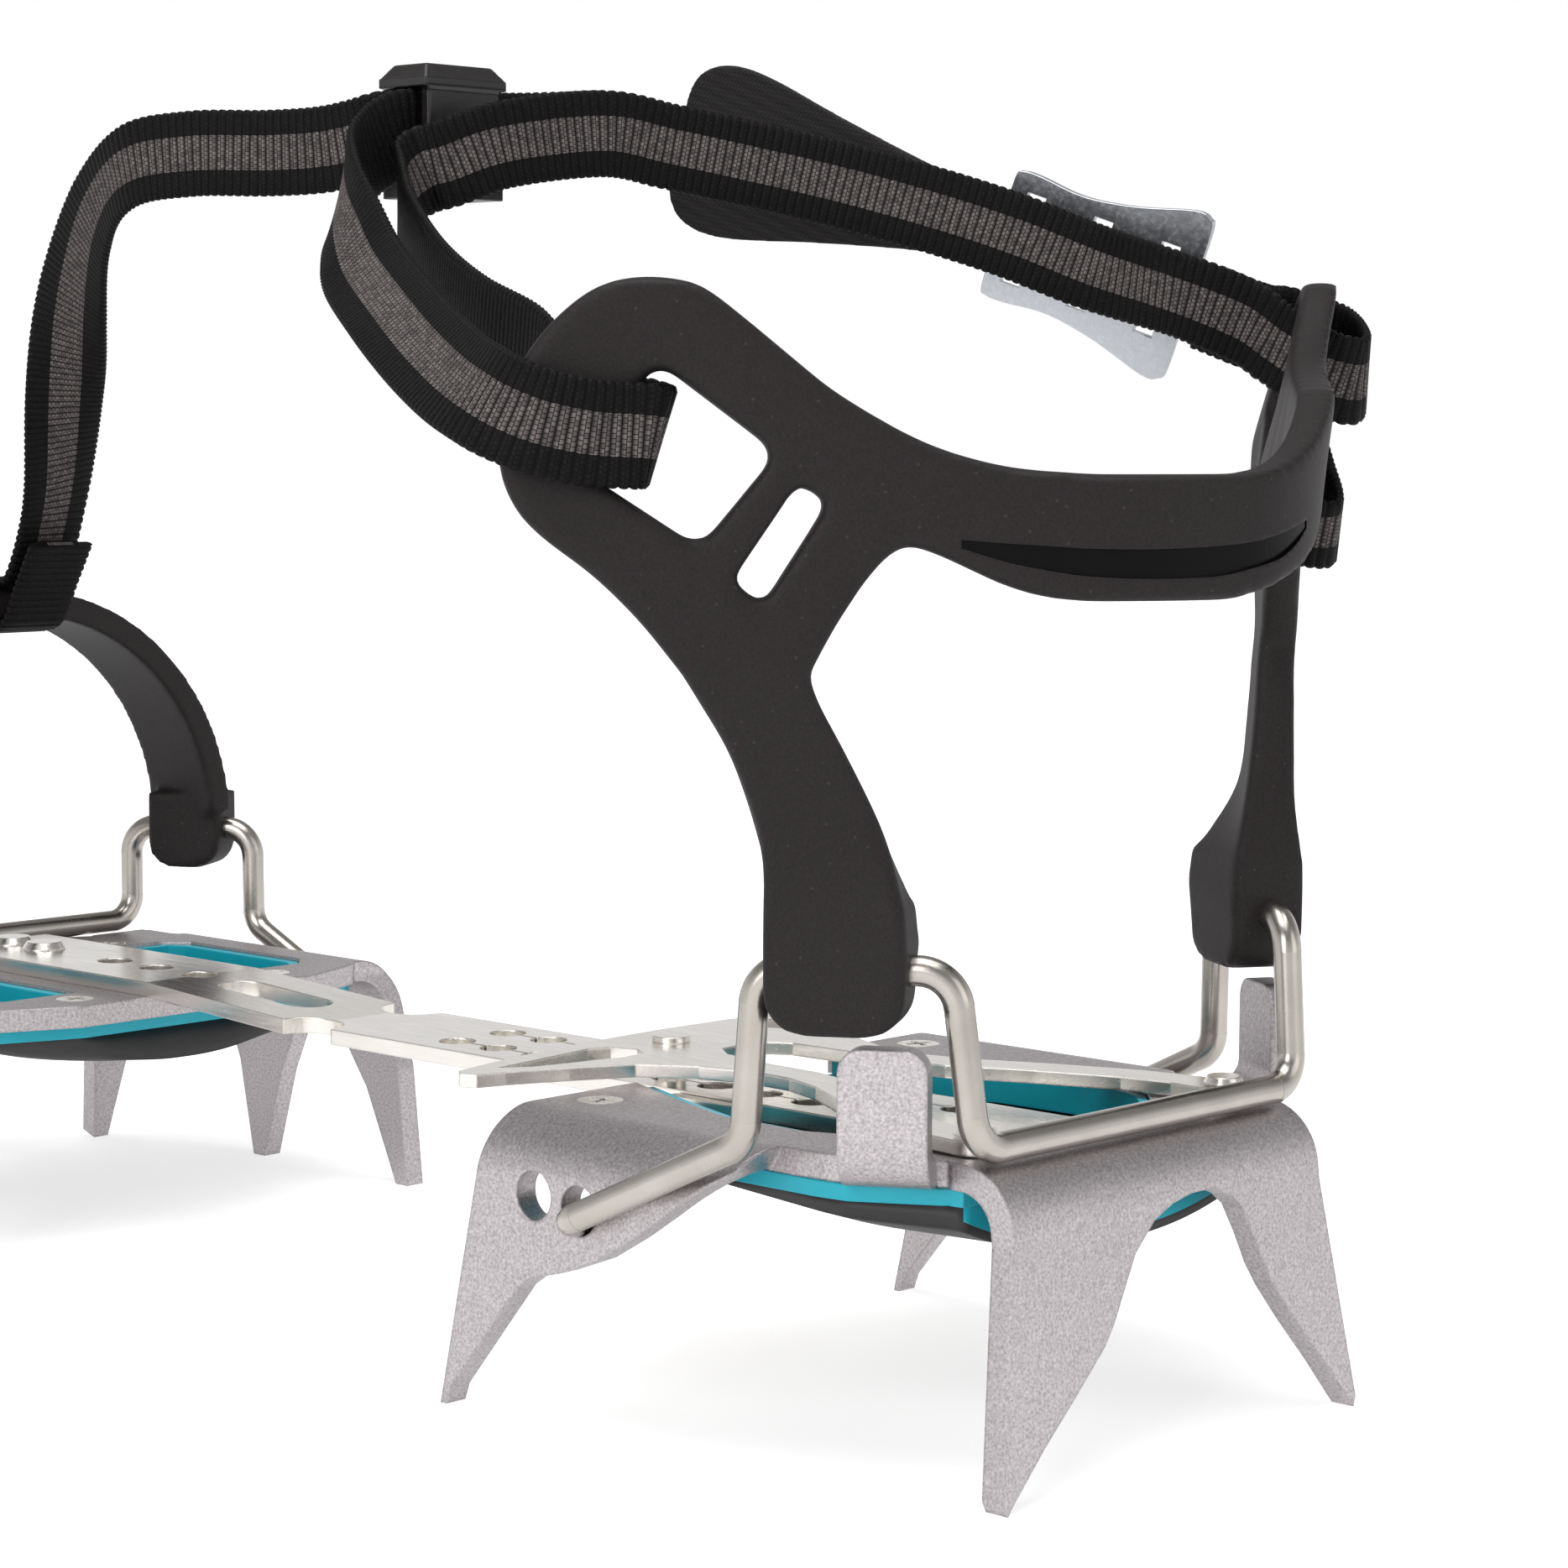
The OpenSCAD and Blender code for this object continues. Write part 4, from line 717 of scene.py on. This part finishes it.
flap_upper = [(-3, 6), (4, 6.1), (10, 6.4), (26, 9.6), (38, 12.4), (44, 13), (48, 12), (50.4, 9.6), (51.2, 6),
              (51.2, 0)]
upper = [tuple(p) for p in smooth_line(flap_upper, 4)]
outline = upper + [(u, -v) for u, v in reversed(upper[:-1])]
flap_shape = bmesh.new()
slab(flap_shape, [[flap_spot(u, v, -flap_thick / 2) for u, v in outline]], face_out * flap_thick / 1000)
bmesh.ops.create_cube(flap_shape, size=1)
bar_cover = flap_shape.verts[:][-8:]
bmesh.ops.scale(flap_shape, verts=bar_cover, vec=Vector((4, 12, 3.8)) / 1000)
bmesh.ops.transform(flap_shape, verts=bar_cover, matrix=Matrix.Translation(here(*buckle_spot(17.4, 0, 0)))
                    @ Matrix((run, rise, face_out)).transposed().to_4x4())
flap = mould(flap_shape, "pull_flap", 0.0004, 3)
canvas, tree, surface = start_material("fine_black_fabric")
place = add(tree, "ShaderNodeTexCoord")
square_on = add(tree, "ShaderNodeMapping", {"Vector": place.outputs["Object"], "Scale": (1000, 1000, 1000),
                                            "Rotation": (0.3, 0.4, 0.42)})
cloth = add(tree, "ShaderNodeTexChecker", {"Vector": square_on.outputs[0], "Color1": linear("#2A2728"),
                                           "Color2": linear("#161415"), "Scale": 1 / 0.45})
tree.links.new(cloth.outputs[0], surface.inputs["Base Color"])
raise_relief(tree, surface, cloth.outputs[1], 0.3, 0.00008)
surface.inputs["Roughness"].default_value = 0.75
surface.inputs["Specular IOR Level"].default_value = 0.3
flap.data.materials.append(canvas)
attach(flap, "heel_harness_unit")
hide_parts("buckle_flap")


# Slider: a satin black moulding, a flat tube with a chamfered cap that overhangs it. The end of the
# ankle strap and the end of the toe strap lie side by side in it.
slider_shape = bmesh.new()
for size, spot, taper in (((10.4, 16, 1.4), (0, 0, 7), (1, 1)), ((10.4, 16, 2.2), (0, 0, 8.7), (0.68, 0.8)),
                          ((9.6, 15, 2.6), (0, 0, -8.3), (1, 1)), ((1.6, 14, 15), (-3.9, 0, 0), (1, 1)),
                          ((1.6, 14, 15), (3.9, 0, 0), (1, 1))):
    made = bmesh.ops.create_cube(slider_shape, size=1)["verts"]
    bmesh.ops.scale(slider_shape, verts=[v for v in made if v.co.z > 0], vec=(*taper, 1))
    bmesh.ops.scale(slider_shape, verts=made, vec=Vector(size) / 1000)
    bmesh.ops.translate(slider_shape, verts=made, vec=Vector(spot) / 1000)
bmesh.ops.translate(slider_shape, verts=slider_shape.verts, vec=here(137, 3, 172.8))
slider = mould(slider_shape, "moulded_slider", 0.00025, 2)
acetal, tree, surface = start_material("black_acetal")
scuff = grain(tree, 0.0015, 4)
blend_tone(tree, surface, scuff, "#1B1919", "#2C2928")
vary_roughness(tree, surface, scuff, 0.25, 0.42)
surface.inputs["IOR"].default_value = 1.48
slider.data.materials.append(acetal)
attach(slider, "heel_harness_unit")
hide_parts("strap_slider")


# Toe basket: an arch of the same elastomer over the toe, with a foot on each rod of the toe bail
# and a slot at the top for the strap.
arch_z, arch_r, arch_t = 58, 39.5, 4.5
basket_shape = bmesh.new()
arch_from, arch_to = 4.4, 175.6
for x, length, a, b, steps in ((247, 7, arch_from, arch_to, 60), (258.4, 6.6, arch_from, arch_to, 60),
                               (253.5, 5.5, arch_from, 78, 26), (253.5, 5.5, 102, arch_to, 26)):
    wall = [here(at, arch_r + out, arch_z) for at, out in (
        (x, 0), (x + length, 0), (x + length, arch_t), (x, arch_t))]
    wall_face = basket_shape.faces.new([basket_shape.verts.new(p) for p in wall])
    bmesh.ops.rotate(basket_shape, verts=wall_face.verts, cent=here(0, 0, arch_z),
                     matrix=Matrix.Rotation(math.radians(a), 3, "X"))
    bmesh.ops.duplicate(basket_shape, geom=[wall_face])
    bmesh.ops.spin(basket_shape, geom=[wall_face], cent=here(0, 0, arch_z), axis=(1, 0, 0),
                   angle=math.radians(b - a), steps=steps)
toe_x, toe_y, toe_angle, toe_half = 256, 41.8, -30.1, 4.6
for side in (1, -1):
    c, s = math.cos(math.radians(toe_angle)), math.sin(math.radians(toe_angle))
    foot = foot_line(-6.6, 6.6, 6.5, -2.5, 4.5)
    slab(basket_shape, [[here(toe_x + t * c + toe_half * s, side * (toe_y + t * s - toe_half * c), arch_z + z)
                         for t, z in foot]], Vector((-2 * toe_half * s, side * 2 * toe_half * c, 0)) / 1000)
basket = mould(basket_shape, "toe_basket_moulding", 0.0007, 8)
basket.data.materials.append(grained)
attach(basket, "toe_unit")
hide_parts("toe_basket")


# Toe strap: the same webbing from the slider forward to the toe basket, where it is looped through
# the slot and sewn. It is slack enough to follow the bar and both bails.
along = (0, 1, 0)
arch_top = arch_z + arch_r + arch_t
toe_route = [(x, y, z, *upright) for x, y, z in (
    (138.7, -5, 172.8), (138.7, 2, 172.8), (138.7, 8.6, 172.8), (139.1, 12.4, 172.4), (141.4, 15.6, 171.2),
    (146.8, 18.2, 170.2), (155, 21.6, 169.9), (166, 27, 170), (178, 29.6, 168.4))]
toe_route += [(192, 25.6, 162, 0, 0.25, 0.95), (208, 17.6, 150, 0, 0.6, 0.8), (223, 8.6, 135.4, 0, 0.88, 0.45)]
toe_route += [(x, y, z, *along) for x, y, z in (
    (236, 1, 119), (243, 0, arch_top + 3.4), (248, 0, arch_top + 1.6), (253, 0, arch_top + 1.4),
    (256.2, 0, arch_top - 1), (256.6, 0, arch_top - 3.6), (254.2, 0, arch_top - arch_t - 1.8),
    (249, 0, arch_top - arch_t - 2), (244.6, 0, arch_top - arch_t - 0.4), (240.6, 0, arch_top + 1.4),
    (236.4, 0, arch_top + 8))]
toe_spots = swept(toe_route)
first_cut = max(i for i, p in enumerate(toe_spots) if p[0] < 192 and i < len(toe_spots) / 2)
second_cut = max(i for i, p in enumerate(toe_spots) if p[0] < 228 and p[2] > 130)
for name, first, last, one, other in (
        ("toe_strap_rear", 0, first_cut, "heel_harness_unit", "heel"),
        ("toe_strap_middle", first_cut, second_cut, "heel", "front_unit"),
        ("toe_strap_front", second_cut, len(toe_spots) - 1, "front_unit", "toe_unit")):
    part = webbing(name, toe_spots[first:last + 1], strap_wide, -1, first)
    part.data.materials.append(woven)
    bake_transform(part)
    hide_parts("toe_strap")

low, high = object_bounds()
